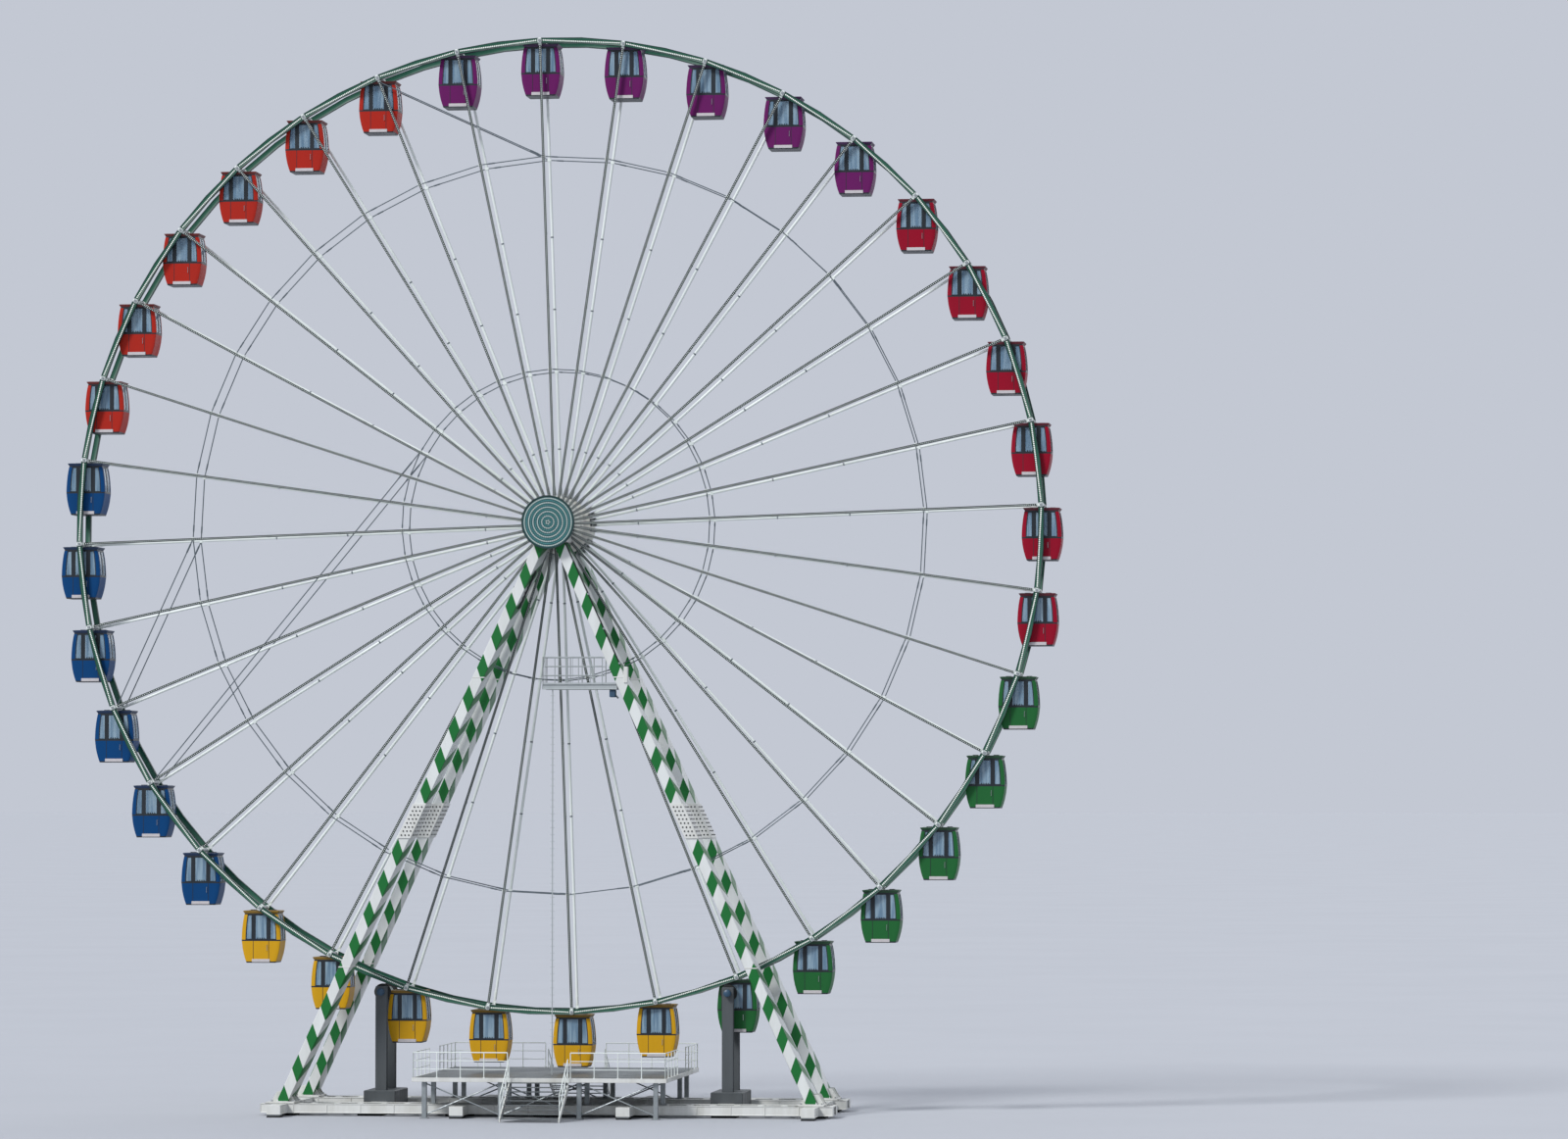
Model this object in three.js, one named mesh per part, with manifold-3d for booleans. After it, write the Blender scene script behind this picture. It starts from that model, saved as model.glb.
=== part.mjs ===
// Transportable observation wheel, half size, in millimetres.
// +Z is up, +Y runs along the axle away from the viewer, and the origin is on the ground
// under the hub.

import * as THREE from 'three';
import { mergeVertices } from 'three/addons/utils/BufferGeometryUtils.js';
import Module from 'manifold-3d';

const wasm = await Module();
wasm.setup();

// Sizes are written in real metres and turned to model millimetres here.
const modelScale = 0.5;
const m = (metres) => metres * 1000 * modelScale;

// Play between pieces that rest against each other, in model millimetres.
const seatGap = 0.3;

// Wheel
const cabinCount = 36;
const pitchAngle = (2 * Math.PI) / cabinCount;
const restTurn = THREE.MathUtils.degToRad(-2);
const hubHeight = m(25.6);
const pivotRadius = m(21.2);
const rimHeight = m(0.24);
const rimThickness = m(0.2);
const rimOffset = m(0.79);
const rimSides = 2 * cabinCount;
const crossTubeRadius = m(0.055);
const crossTubeSides = 6;

// Hub and axle
const flangeRadius = m(1.25);
const flangeOffset = m(0.95);
const flangeThickness = m(0.12);
const drumRadius = m(0.55);
const axleRadius = m(0.22);
const axleSides = 24;
const axleHalfLength = m(2.9);
const discRadius = m(1.16);
const discThickness = m(0.14);

// Spokes, ring rods and diagonal stays, alike on both faces
const spokeWidth = m(0.12);
const rodWidth = m(0.05);
const innerRingRadius = 0.32 * pivotRadius;
const outerRingRadius = 0.76 * pivotRadius;
const shortStays = [[0, -2], [-9, -11]];
const longStay = [-6, -12];

// Legs: two A-frames that spread outwards from the bearing heads
const legSlopeX = 0.46;
const legSlopeY = 0.035;
const legWidth = m(0.5);
const legDepth = m(1.45);
const legOffsetAtHub = m(1.8);
const spliceHeight = m(12.7);
const spliceLength = m(1.5);
const spliceProud = m(0.05);
const footPlate = { width: m(1.1), depth: m(1.65), thickness: m(0.08) };

// Bearing heads
const headInnerFace = m(1.08);
const headDepth = m(1.45);
const headTop = m(0.5);
const headBottom = m(0.75);
const headTopHalfWidth = m(0.36);
const headBottomHalfWidth = m(0.78);

// Base beams on their pads
const padHeight = m(0.12);
const beamHeight = m(0.4);
const sideBeamWidth = m(1.8);
const endBeamWidth = m(0.7);
const beamOverhang = m(0.9);
const padSize = m(1.1);
const padCount = 7;
const outriggerWidth = m(0.6);
const outriggerEnd = m(5.1);
const innerOutriggerX = m(3.6);

// Boarding platform and its stairs
const deckHeight = m(1.75);
const deckThickness = m(0.18);
const deckHalfLength = m(5.5);
const deckHalfDepth = m(5.2);
const postSize = m(0.2);
const postColumns = [-5.0, -1.7, 1.7, 5.0].map(m);
const outerPostRow = m(4.9);
const railHeight = m(1.1);
const railSize = m(0.06);
const wheelSlotHalfDepth = m(1.3);
const stairHalfWidth = m(1.3);
const stepCount = 10;
const stepGoing = m(0.28);

// Drive pedestals under the rims
const driveDistance = m(7.6);
const driveBase = { width: m(1.4), depth: m(3.0), height: m(1.0) };
const driveTyre = { radius: m(0.36), width: m(0.2), sides: 16 };
const driveRunningGap = m(0.03);
const drivePost = { width: m(0.5), depth: m(0.3) };

// Service platform beside the front right leg
const serviceDrop = m(7.0);
const serviceLeft = m(-0.3);
const serviceDeckThickness = m(0.28);
const serviceDeckDepth = m(1.1);
const serviceRailHeight = m(1.2);
const serviceRailPosts = 5;

// Cabins, measured down from their pivot
const cabinDepth = m(1.2);
const cabinWall = m(0.06);
const cabinOutline = [[0.7, -0.18], [0.79, -0.5], [0.865, -1.42], [0.645, -2.4]];
const roof = { halfWidth: m(0.77), depth: m(1.26), top: m(-0.12), bottom: m(-0.2) };
const hanger = { halfWidth: m(0.1), depth: m(0.9), top: m(0.1), bottom: m(-0.15) };
const faceWindow = { halfWidth: m(0.63), top: m(-0.3), bottom: m(-1.4) };
const sideWindow = { halfWidth: m(0.46), top: m(-0.36), bottom: m(-1.4) };
const doorSill = { halfWidth: m(0.4), reach: m(0.04), top: m(-2.24), bottom: m(-2.38) };

const paint = (color, roughness = 0.45, metalness = 0.1) => (
  new THREE.MeshStandardMaterial({ color, roughness, metalness })
);
const rimGreen = paint(0x1b6b45);
const spokeWhite = paint(0xdde3dd);
const legWhite = paint(0xd8d8d0);
const hubTeal = paint(0x2f7f78);
const galvanised = paint(0x9aa0a2, 0.6, 0.7);
const deckGrey = paint(0x8a8f90, 0.7, 0.3);
const driveGrey = paint(0x4a4f52, 0.6, 0.4);

// Colours of the six groups of six cabins, clockwise from the one left of the top.
const firstOfColours = -1;
const cabinsPerColour = 6;
const cabinPaints = [0x8a2468, 0xb01420, 0x2f8a30, 0xe0b020, 0x0f4e94, 0xd03c1c]
  .map((colour) => paint(colour, 0.3, 0.05));

/** Turns a closed geometry into a solid for joining and cutting. */
function solid(geometry) {
  const bare = geometry.clone();
  bare.deleteAttribute('normal');
  bare.deleteAttribute('uv');
  const merged = mergeVertices(bare, 1e-3);
  return new wasm.Manifold(new wasm.Mesh({
    numProp: 3,
    vertProperties: new Float32Array(merged.attributes.position.array),
    triVerts: new Uint32Array(merged.index.array),
  }));
}

/** Turns a solid back into a geometry. */
function geometryOf(body) {
  const mesh = body.getMesh();
  const geometry = new THREE.BufferGeometry();
  geometry.setAttribute('position', new THREE.BufferAttribute(mesh.vertProperties, 3));
  geometry.setIndex(new THREE.BufferAttribute(mesh.triVerts, 1));
  geometry.computeVertexNormals();
  return geometry;
}

const join = (pieces) => pieces.reduce((whole, piece) => whole.add(piece));

/** A box between two opposite corners. */
function block(low, high) {
  const size = high.map((value, axis) => value - low[axis]);
  const centre = high.map((value, axis) => (value + low[axis]) / 2);
  return solid(new THREE.BoxGeometry(...size).translate(...centre));
}

/** A square bar from one point to another, with its sides turned towards the axle. */
function bar(from, to, width) {
  const start = new THREE.Vector3(...from);
  const along = new THREE.Vector3(...to).sub(start);
  const length = along.length();
  const zAxis = along.clone().normalize();
  const xAxis = new THREE.Vector3(0, 1, 0).cross(zAxis).normalize();
  const yAxis = zAxis.clone().cross(xAxis);
  const frame = new THREE.Matrix4().makeBasis(xAxis, yAxis, zAxis).setPosition(start);
  const box = new THREE.BoxGeometry(width, width, length).translate(0, 0, length / 2);
  return solid(box.applyMatrix4(frame));
}

/** A cylinder along Y between two Y values, centred on the given X and Z. */
function roundBar(radius, sides, low, high, x = 0, z = 0) {
  const cylinder = new THREE.CylinderGeometry(radius, radius, high - low, sides);
  return solid(cylinder.translate(x, (low + high) / 2, z));
}

/** A hole round a shaft, with its flats turned to the shaft's edges. */
function bore(shaftRadius, sides, low, high) {
  const radius = (shaftRadius + seatGap) / Math.cos(Math.PI / sides);
  const cylinder = new THREE.CylinderGeometry(radius, radius, high - low, sides);
  return solid(cylinder.rotateY(Math.PI / sides).translate(0, (low + high) / 2, 0));
}

/** A disc round the axle with a flat facet under every spoke. */
function facetedDisc(radius, low, high) {
  const disc = new THREE.CylinderGeometry(radius, radius, high - low, cabinCount);
  return solid(disc.rotateY(pitchAngle / 2).translate(0, (low + high) / 2, 0));
}

/** A ring of flat segments round the axle with a rectangular section. */
function ring(radius, radial, y, thickness, sides = cabinCount) {
  const inner = radius - radial / 2;
  const outer = radius + radial / 2;
  const low = y - thickness / 2;
  const high = y + thickness / 2;
  const section = [[inner, low], [outer, low], [outer, high], [inner, high], [inner, low]];
  const points = section.map(([r, along]) => new THREE.Vector2(r, along));
  return solid(new THREE.LatheGeometry(points, sides));
}

/** A plate of the given outline in XZ, run along Y between two values. */
function plate(outline, low, high) {
  const shape = new THREE.Shape(outline.map(([x, z]) => new THREE.Vector2(x, z)));
  const options = { depth: high - low, bevelEnabled: false };
  const extruded = new THREE.ExtrudeGeometry(shape, options);
  return solid(extruded.rotateX(Math.PI / 2).translate(0, high, 0));
}

/** The outline mirrored in X, as a closed loop. */
function mirrored(half) {
  const left = half.map(([x, z]) => [-x, z]).reverse();
  return [...half, ...left];
}

/** A point on one face of the wheel, at a radius and a count of pitches clockwise. */
function wheelPoint(radius, index, y) {
  const angle = index * pitchAngle;
  return [radius * Math.sin(angle), y, radius * Math.cos(angle)];
}

/** Y of the dished spoke face at a radius. */
function spokeY(radius, side) {
  const share = (radius - flangeRadius) / (pivotRadius - flangeRadius);
  return side * THREE.MathUtils.lerp(flangeOffset, rimOffset, share);
}

function hubSolid() {
  const outerFace = flangeOffset + flangeThickness / 2;
  const drum = roundBar(drumRadius, axleSides, -outerFace, outerFace);
  const flanges = [-1, 1].map((side) => facetedDisc(
    flangeRadius,
    side * flangeOffset - flangeThickness / 2, side * flangeOffset + flangeThickness / 2,
  ));
  const hole = bore(axleRadius, axleSides, -outerFace - 1, outerFace + 1);
  return join([drum, ...flanges]).subtract(hole);
}

function rimSolid(side) {
  const beam = ring(pivotRadius, rimHeight, side * rimOffset, rimThickness, rimSides);
  if (side < 0) {
    return beam;
  }
  const tubes = Array.from({ length: cabinCount }, (_, index) => {
    const [x, , z] = wheelPoint(pivotRadius, index, 0);
    const frontEnd = -rimOffset + rimThickness / 2 + seatGap;
    return roundBar(crossTubeRadius, crossTubeSides, frontEnd, rimOffset, x, z);
  });
  return join([beam, ...tubes]);
}

function spokesSolid(side) {
  const rootRadius = flangeRadius - m(0.1);
  const spokes = Array.from({ length: cabinCount }, (_, index) => bar(
    wheelPoint(rootRadius, index, spokeY(flangeRadius, side)),
    wheelPoint(pivotRadius, index, spokeY(pivotRadius, side)),
    spokeWidth,
  ));
  const rings = [innerRingRadius, outerRingRadius].map((radius) => (
    ring(radius, rodWidth, spokeY(radius, side), rodWidth)
  ));
  const stay = (startRadius, [from, to]) => bar(
    wheelPoint(startRadius, from, spokeY(startRadius, side)),
    wheelPoint(pivotRadius, to, spokeY(pivotRadius, side)),
    rodWidth,
  );
  const stays = [
    ...shortStays.map((ends) => stay(outerRingRadius, ends)),
    stay(innerRingRadius, longStay),
  ];
  const rimRoom = ring(
    pivotRadius, rimHeight + 2 * seatGap, side * rimOffset, rimThickness + 2 * seatGap, rimSides,
  );
  const hubRoom = facetedDisc(
    flangeRadius + seatGap, -flangeOffset - m(0.5), flangeOffset + m(0.5),
  );
  return join([...spokes, ...rings, ...stays]).subtract(rimRoom).subtract(hubRoom);
}

/** A post with level ends whose middle line leans by the two slopes. */
function leaningPost(width, depth, low, high, slopeX, slopeY) {
  const box = new THREE.BoxGeometry(width, depth, high - low);
  box.translate(0, 0, (low + high) / 2);
  return box.applyMatrix4(new THREE.Matrix4().makeShear(0, 0, 0, 0, slopeX, slopeY));
}

function legSolid(across, side) {
  const baseTop = padHeight + beamHeight;
  const plateTop = baseTop + seatGap + footPlate.thickness;
  const slopeX = -across * legSlopeX;
  const slopeY = -side * legSlopeY;
  const middleX = across * legSlopeX * hubHeight;
  const middleY = side * (legOffsetAtHub + legSlopeY * hubHeight);
  const stretch = (width, depth, low, high) => (
    solid(leaningPost(width, depth, low, high, slopeX, slopeY).translate(middleX, middleY, 0))
  );
  const top = hubHeight - headBottom - seatGap;
  const shaft = stretch(legWidth, legDepth, plateTop - seatGap, top);
  const splice = stretch(
    legWidth + 2 * spliceProud, legDepth + 2 * spliceProud,
    spliceHeight - spliceLength / 2, spliceHeight + spliceLength / 2,
  );
  const footX = middleX + slopeX * plateTop;
  const footY = middleY + slopeY * plateTop;
  const foot = block(
    [footX - footPlate.width / 2, footY - footPlate.depth / 2, baseTop + seatGap],
    [footX + footPlate.width / 2, footY + footPlate.depth / 2, plateTop],
  );
  return join([shaft, splice, foot]);
}

function headSolid(side) {
  const outline = mirrored([[headTopHalfWidth, headTop], [headBottomHalfWidth, -headBottom]]);
  const faces = [side * headInnerFace, side * (headInnerFace + headDepth)];
  const body = plate(outline, Math.min(...faces), Math.max(...faces));
  return body.subtract(bore(axleRadius, axleSides, Math.min(...faces) - 1, Math.max(...faces) + 1));
}

/** Middle of the feet on one side, at the top of the base beams. */
function footMiddle() {
  const rise = hubHeight - padHeight - beamHeight;
  return { x: legSlopeX * rise, y: legOffsetAtHub + legSlopeY * rise };
}

function sideBeamSolid(side) {
  const { x, y } = footMiddle();
  const reach = x + beamOverhang;
  const beam = block(
    [-reach, side * y - sideBeamWidth / 2, padHeight],
    [reach, side * y + sideBeamWidth / 2, padHeight + beamHeight],
  );
  const pads = Array.from({ length: padCount }, (_, index) => {
    const middle = THREE.MathUtils.lerp(-x, x, index / (padCount - 1));
    return block(
      [middle - padSize / 2, side * y - padSize / 2, 0],
      [middle + padSize / 2, side * y + padSize / 2, padHeight],
    );
  });
  const outriggers = [-x, -innerOutriggerX, innerOutriggerX, x].flatMap((middle) => {
    const footCentre = side * (outriggerEnd - outriggerWidth / 2);
    const ends = [side * y, side * outriggerEnd].sort((a, b) => a - b);
    return [
      block(
        [middle - outriggerWidth / 2, ends[0], padHeight],
        [middle + outriggerWidth / 2, ends[1], padHeight + beamHeight],
      ),
      block(
        [middle - outriggerWidth / 2, footCentre - outriggerWidth / 2, 0],
        [middle + outriggerWidth / 2, footCentre + outriggerWidth / 2, padHeight],
      ),
    ];
  });
  return join([beam, ...pads, ...outriggers]);
}

function endBeamSolid(across) {
  const { x, y } = footMiddle();
  const reach = y - sideBeamWidth / 2 - seatGap;
  return block(
    [across * x - endBeamWidth / 2, -reach, 0],
    [across * x + endBeamWidth / 2, reach, padHeight + beamHeight],
  );
}

/** A railing along a straight run: posts, a top rail and a knee rail. */
function railing(from, to, posts, height) {
  const half = railSize / 2;
  const at = (share) => from.map((value, axis) => THREE.MathUtils.lerp(value, to[axis], share));
  const uprights = Array.from({ length: posts }, (_, index) => {
    const [x, y, z] = at(index / (posts - 1));
    return block([x - half, y - half, z - half], [x + half, y + half, z + height]);
  });
  const rails = [height - half, height / 2].map((rise) => {
    const low = from.map((value, axis) => Math.min(value, to[axis]) - half + (axis === 2 ? rise : 0));
    const high = from.map((value, axis) => Math.max(value, to[axis]) + half + (axis === 2 ? rise : 0));
    return block(low, high);
  });
  return [...uprights, ...rails];
}

function platformSolid() {
  const { y: beamY } = footMiddle();
  const beamTop = padHeight + beamHeight + seatGap;
  const underside = deckHeight - deckThickness;
  const deck = block(
    [-deckHalfLength, -deckHalfDepth, underside],
    [deckHalfLength, deckHalfDepth, deckHeight],
  );
  const rows = [[-outerPostRow, 0], [-beamY, beamTop], [beamY, beamTop], [outerPostRow, 0]];
  const posts = postColumns.flatMap((x) => rows.map(([y, foot]) => block(
    [x - postSize / 2, y - postSize / 2, foot],
    [x + postSize / 2, y + postSize / 2, underside],
  )));
  const edgeX = deckHalfLength - railSize;
  const edgeY = deckHalfDepth - railSize;
  const gateX = stairHalfWidth + railSize;
  const rails = [-1, 1].flatMap((side) => [
    ...railing([-edgeX, side * edgeY, deckHeight], [-gateX, side * edgeY, deckHeight], 3, railHeight),
    ...railing([gateX, side * edgeY, deckHeight], [edgeX, side * edgeY, deckHeight], 3, railHeight),
    ...[-1, 1].flatMap((end) => railing(
      [side * edgeX, end * wheelSlotHalfDepth, deckHeight], [side * edgeX, end * edgeY, deckHeight],
      3, railHeight,
    )),
  ]);
  return join([deck, ...posts, ...rails]);
}

function stairSolid(side) {
  const rise = deckHeight / stepCount;
  const length = (stepCount - 1) * stepGoing;
  const start = deckHalfDepth + seatGap;
  const outline = [[start, deckHeight - rise]];
  for (let step = 1; step < stepCount; step += 1) {
    const reach = start + step * stepGoing;
    const level = deckHeight - step * rise;
    outline.push([reach, level], [reach, Math.max(level - rise, 0)]);
  }
  outline.push([start + length - 2 * stepGoing, 0], [start, deckHeight - 3 * rise]);
  const shape = new THREE.Shape(outline.map(([y, z]) => new THREE.Vector2(y, z)));
  const flight = new THREE.ExtrudeGeometry(
    shape, { depth: 2 * stairHalfWidth, bevelEnabled: false },
  );
  const turned = new THREE.Matrix4().makeBasis(
    new THREE.Vector3(0, 1, 0), new THREE.Vector3(0, 0, 1), new THREE.Vector3(1, 0, 0),
  );
  flight.applyMatrix4(turned).translate(-stairHalfWidth, 0, 0);
  if (side < 0) {
    flight.rotateZ(Math.PI);
  }
  return solid(flight);
}

function driveSolid(across) {
  const rimOuter = pivotRadius + rimHeight / 2;
  const wheelReach = rimOuter + driveRunningGap + driveTyre.radius;
  const tyreX = across * driveDistance;
  const tyreZ = hubHeight - Math.sqrt(wheelReach ** 2 - driveDistance ** 2);
  const base = block(
    [tyreX - driveBase.width / 2, -driveBase.depth / 2, 0],
    [tyreX + driveBase.width / 2, driveBase.depth / 2, driveBase.height],
  );
  const crossReach = footMiddle().y - sideBeamWidth / 2 - seatGap;
  const crossBeam = block(
    [tyreX - endBeamWidth / 2, -crossReach, 0],
    [tyreX + endBeamWidth / 2, crossReach, padHeight + beamHeight],
  );
  const sides = [-1, 1].flatMap((side) => {
    const postInner = rimOffset + driveTyre.width / 2 - m(0.02);
    const postFaces = [side * postInner, side * (postInner + drivePost.depth)];
    const tyreFaces = [-1, 1].map((edge) => side * rimOffset + edge * driveTyre.width / 2);
    return [
      block(
        [tyreX - drivePost.width / 2, Math.min(...postFaces), driveBase.height / 2],
        [tyreX + drivePost.width / 2, Math.max(...postFaces), tyreZ + drivePost.width / 2],
      ),
      roundBar(
        driveTyre.radius, driveTyre.sides, Math.min(...tyreFaces), Math.max(...tyreFaces),
        tyreX, tyreZ,
      ),
    ];
  });
  return join([base, crossBeam, ...sides]);
}

function serviceSolid() {
  const level = hubHeight - serviceDrop;
  const legInner = legSlopeX * serviceDrop - legWidth / 2;
  const middleY = -(legOffsetAtHub + legSlopeY * serviceDrop);
  const right = legInner - seatGap;
  const frontY = middleY - serviceDeckDepth / 2;
  const backY = middleY + serviceDeckDepth / 2;
  const deck = block(
    [serviceLeft, frontY, level - serviceDeckThickness], [right, backY, level],
  );
  const inset = railSize / 2;
  const railRight = right - m(0.65);
  const posts = serviceRailPosts;
  const rails = [frontY + inset, backY - inset].flatMap((y) => (
    railing([serviceLeft + inset, y, level], [railRight, y, level], posts, serviceRailHeight)
  ));
  const end = railing(
    [serviceLeft + inset, frontY + inset, level], [serviceLeft + inset, backY - inset, level],
    2, serviceRailHeight,
  );
  return join([deck, ...rails, ...end]);
}

function cabinSolid() {
  const outline = cabinOutline.map(([x, z]) => [m(x), m(z)]);
  const last = outline.length - 1;
  const room = outline.map(([x, z], index) => {
    const down = index === 0 ? roof.bottom - cabinWall / 2 : z;
    const up = index === last ? z + cabinWall : down;
    return [x - cabinWall, up];
  });
  const half = cabinDepth / 2;
  const shell = plate(mirrored(outline), -half, half)
    .subtract(plate(mirrored(room), -half + cabinWall, half - cabinWall));
  const faceCut = block(
    [-faceWindow.halfWidth, -half - 1, faceWindow.bottom],
    [faceWindow.halfWidth, half + 1, faceWindow.top],
  );
  const sideCut = block(
    [-m(1), -sideWindow.halfWidth, sideWindow.bottom], [m(1), sideWindow.halfWidth, sideWindow.top],
  );
  const roofPlate = block(
    [-roof.halfWidth, -roof.depth / 2, roof.bottom], [roof.halfWidth, roof.depth / 2, roof.top],
  );
  const hangerBlock = block(
    [-hanger.halfWidth, -hanger.depth / 2, hanger.bottom],
    [hanger.halfWidth, hanger.depth / 2, hanger.top],
  );
  const sill = block(
    [-doorSill.halfWidth, -half - doorSill.reach, doorSill.bottom],
    [doorSill.halfWidth, -half + cabinWall / 2, doorSill.top],
  );
  return join([shell.subtract(faceCut).subtract(sideCut), roofPlate, hangerBlock, sill])
    .subtract(bore(crossTubeRadius, crossTubeSides, -hanger.depth, hanger.depth));
}

const group = new THREE.Group();

function addMesh(parent, name, body, material) {
  const mesh = new THREE.Mesh(geometryOf(body), material);
  mesh.name = name;
  parent.add(mesh);
  return mesh;
}

const wheel = new THREE.Group();
wheel.position.set(0, 0, hubHeight);
wheel.rotation.y = restTurn;
group.add(wheel);
addMesh(wheel, 'hub', hubSolid(), hubTeal);
addMesh(wheel, 'front_rim', rimSolid(-1), rimGreen);
addMesh(wheel, 'back_rim', rimSolid(1), rimGreen);
addMesh(wheel, 'front_spokes', spokesSolid(-1), spokeWhite);
addMesh(wheel, 'back_spokes', spokesSolid(1), spokeWhite);

const cabins = new THREE.Group();
cabins.position.set(0, 0, hubHeight);
group.add(cabins);
const cabinBody = cabinSolid();
for (let index = 0; index < cabinCount; index += 1) {
  const angle = index * pitchAngle + restTurn;
  const fromFirst = (index - firstOfColours) % cabinCount;
  const colour = cabinPaints[Math.floor(fromFirst / cabinsPerColour)];
  const name = `cabin_${String(index + 1).padStart(2, '0')}`;
  const cabin = addMesh(cabins, name, cabinBody, colour);
  cabin.position.set(pivotRadius * Math.sin(angle), 0, pivotRadius * Math.cos(angle));
}

const tower = new THREE.Group();
tower.position.set(0, 0, hubHeight);
group.add(tower);
addMesh(tower, 'axle', roundBar(axleRadius, axleSides, -axleHalfLength, axleHalfLength), galvanised);
for (const [place, side] of [['front', -1], ['back', 1]]) {
  addMesh(tower, `${place}_bearing_head`, headSolid(side), legWhite);
  const inner = axleHalfLength + seatGap;
  const faces = [side * inner, side * (inner + discThickness)].sort((a, b) => a - b);
  addMesh(tower, `${place}_hub_disc`, roundBar(discRadius, cabinCount, ...faces), hubTeal);
  for (const [hand, across] of [['left', -1], ['right', 1]]) {
    addMesh(group, `${place}_${hand}_leg`, legSolid(across, side), legWhite);
  }
  addMesh(group, `${place}_base_beam`, sideBeamSolid(side), legWhite);
}
for (const [hand, across] of [['left', -1], ['right', 1]]) {
  addMesh(group, `${hand}_base_beam`, endBeamSolid(across), legWhite);
  addMesh(group, `${hand}_drive`, driveSolid(across), driveGrey);
}
addMesh(group, 'boarding_platform', platformSolid(), deckGrey);
addMesh(group, 'entry_stair', stairSolid(-1), deckGrey);
addMesh(group, 'exit_stair', stairSolid(1), deckGrey);
addMesh(group, 'service_platform', serviceSolid(), galvanised);

export default group;
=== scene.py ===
"""Looks of a half-size ferris wheel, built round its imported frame.

Every class keeps its sizes in metres of the real wheel, and Bench.place halves them.
Pieces of the wheel are modelled in its twelve o'clock bay and copied round the hub.
"""

import logging
import math
from collections.abc import Callable, Sequence
from dataclasses import dataclass, field
from enum import Enum, IntEnum

import bmesh
import bpy
import numpy as np
from mathutils import Matrix, Vector


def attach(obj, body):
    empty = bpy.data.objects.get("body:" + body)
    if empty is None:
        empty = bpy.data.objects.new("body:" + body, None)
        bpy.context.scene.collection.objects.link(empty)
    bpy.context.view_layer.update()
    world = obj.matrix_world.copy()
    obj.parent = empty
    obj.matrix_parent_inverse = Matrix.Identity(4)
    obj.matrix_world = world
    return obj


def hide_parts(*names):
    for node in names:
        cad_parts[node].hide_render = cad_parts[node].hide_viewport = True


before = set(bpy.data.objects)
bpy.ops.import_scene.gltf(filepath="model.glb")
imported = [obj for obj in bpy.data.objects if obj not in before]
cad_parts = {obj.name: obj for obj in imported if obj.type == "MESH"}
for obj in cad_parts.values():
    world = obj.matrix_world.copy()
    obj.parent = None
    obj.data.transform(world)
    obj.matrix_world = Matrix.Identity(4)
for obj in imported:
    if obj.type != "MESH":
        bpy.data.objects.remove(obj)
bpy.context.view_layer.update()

LOG = logging.getLogger("ferris_wheel")

HALF = 0.5
HUB_HEIGHT = 25.6
PIVOT_RADIUS = 21.2
BAYS = 36
BAY_ANGLE = 2 * math.pi / BAYS
REST_TURN = math.radians(-2)
SEAT_GAP = 0.0006
PIVOT_TOP = HUB_HEIGHT + PIVOT_RADIUS
CREASE = math.radians(35)
TO_FRONT = Matrix.Rotation(math.pi / 2, 4, "X")

Point = Sequence[float]
Steps = Sequence[tuple[float, float]]
Piece = bpy.types.Object
Socket = bpy.types.NodeSocket
FaceTest = Callable[[Vector, Vector], bool]
SpotTest = Callable[[Vector], bool]


class Axis(IntEnum):
    """The three directions: across, along the axle and up."""

    X = 0
    Y = 1
    Z = 2


class Place(Enum):
    """A choice of places, each with the word that pieces are named by."""

    @property
    def word(self) -> str:
        """The place's name in small letters."""
        return self.name.lower()


class Side(Place):
    """The two faces of the wheel along its axle."""

    FRONT = -1
    BACK = 1


class Hand(Place):
    """The two ends of the frame as seen from the front."""

    LEFT = -1
    RIGHT = 1


def linear(code: str) -> tuple[float, float, float, float]:
    """Turns an sRGB hex colour into linear values.

    Args:
        code: The colour, such as "#1B6B45".

    Returns:
        Linear red, green and blue, and an alpha of one.
    """
    channels = [int(code[place:place + 2], 16) / 255 for place in (1, 3, 5)]
    red, green, blue = (
        value / 12.92 if value <= 0.04045 else ((value + 0.055) / 1.055) ** 2.4
        for value in channels
    )
    return red, green, blue, 1.0


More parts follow.
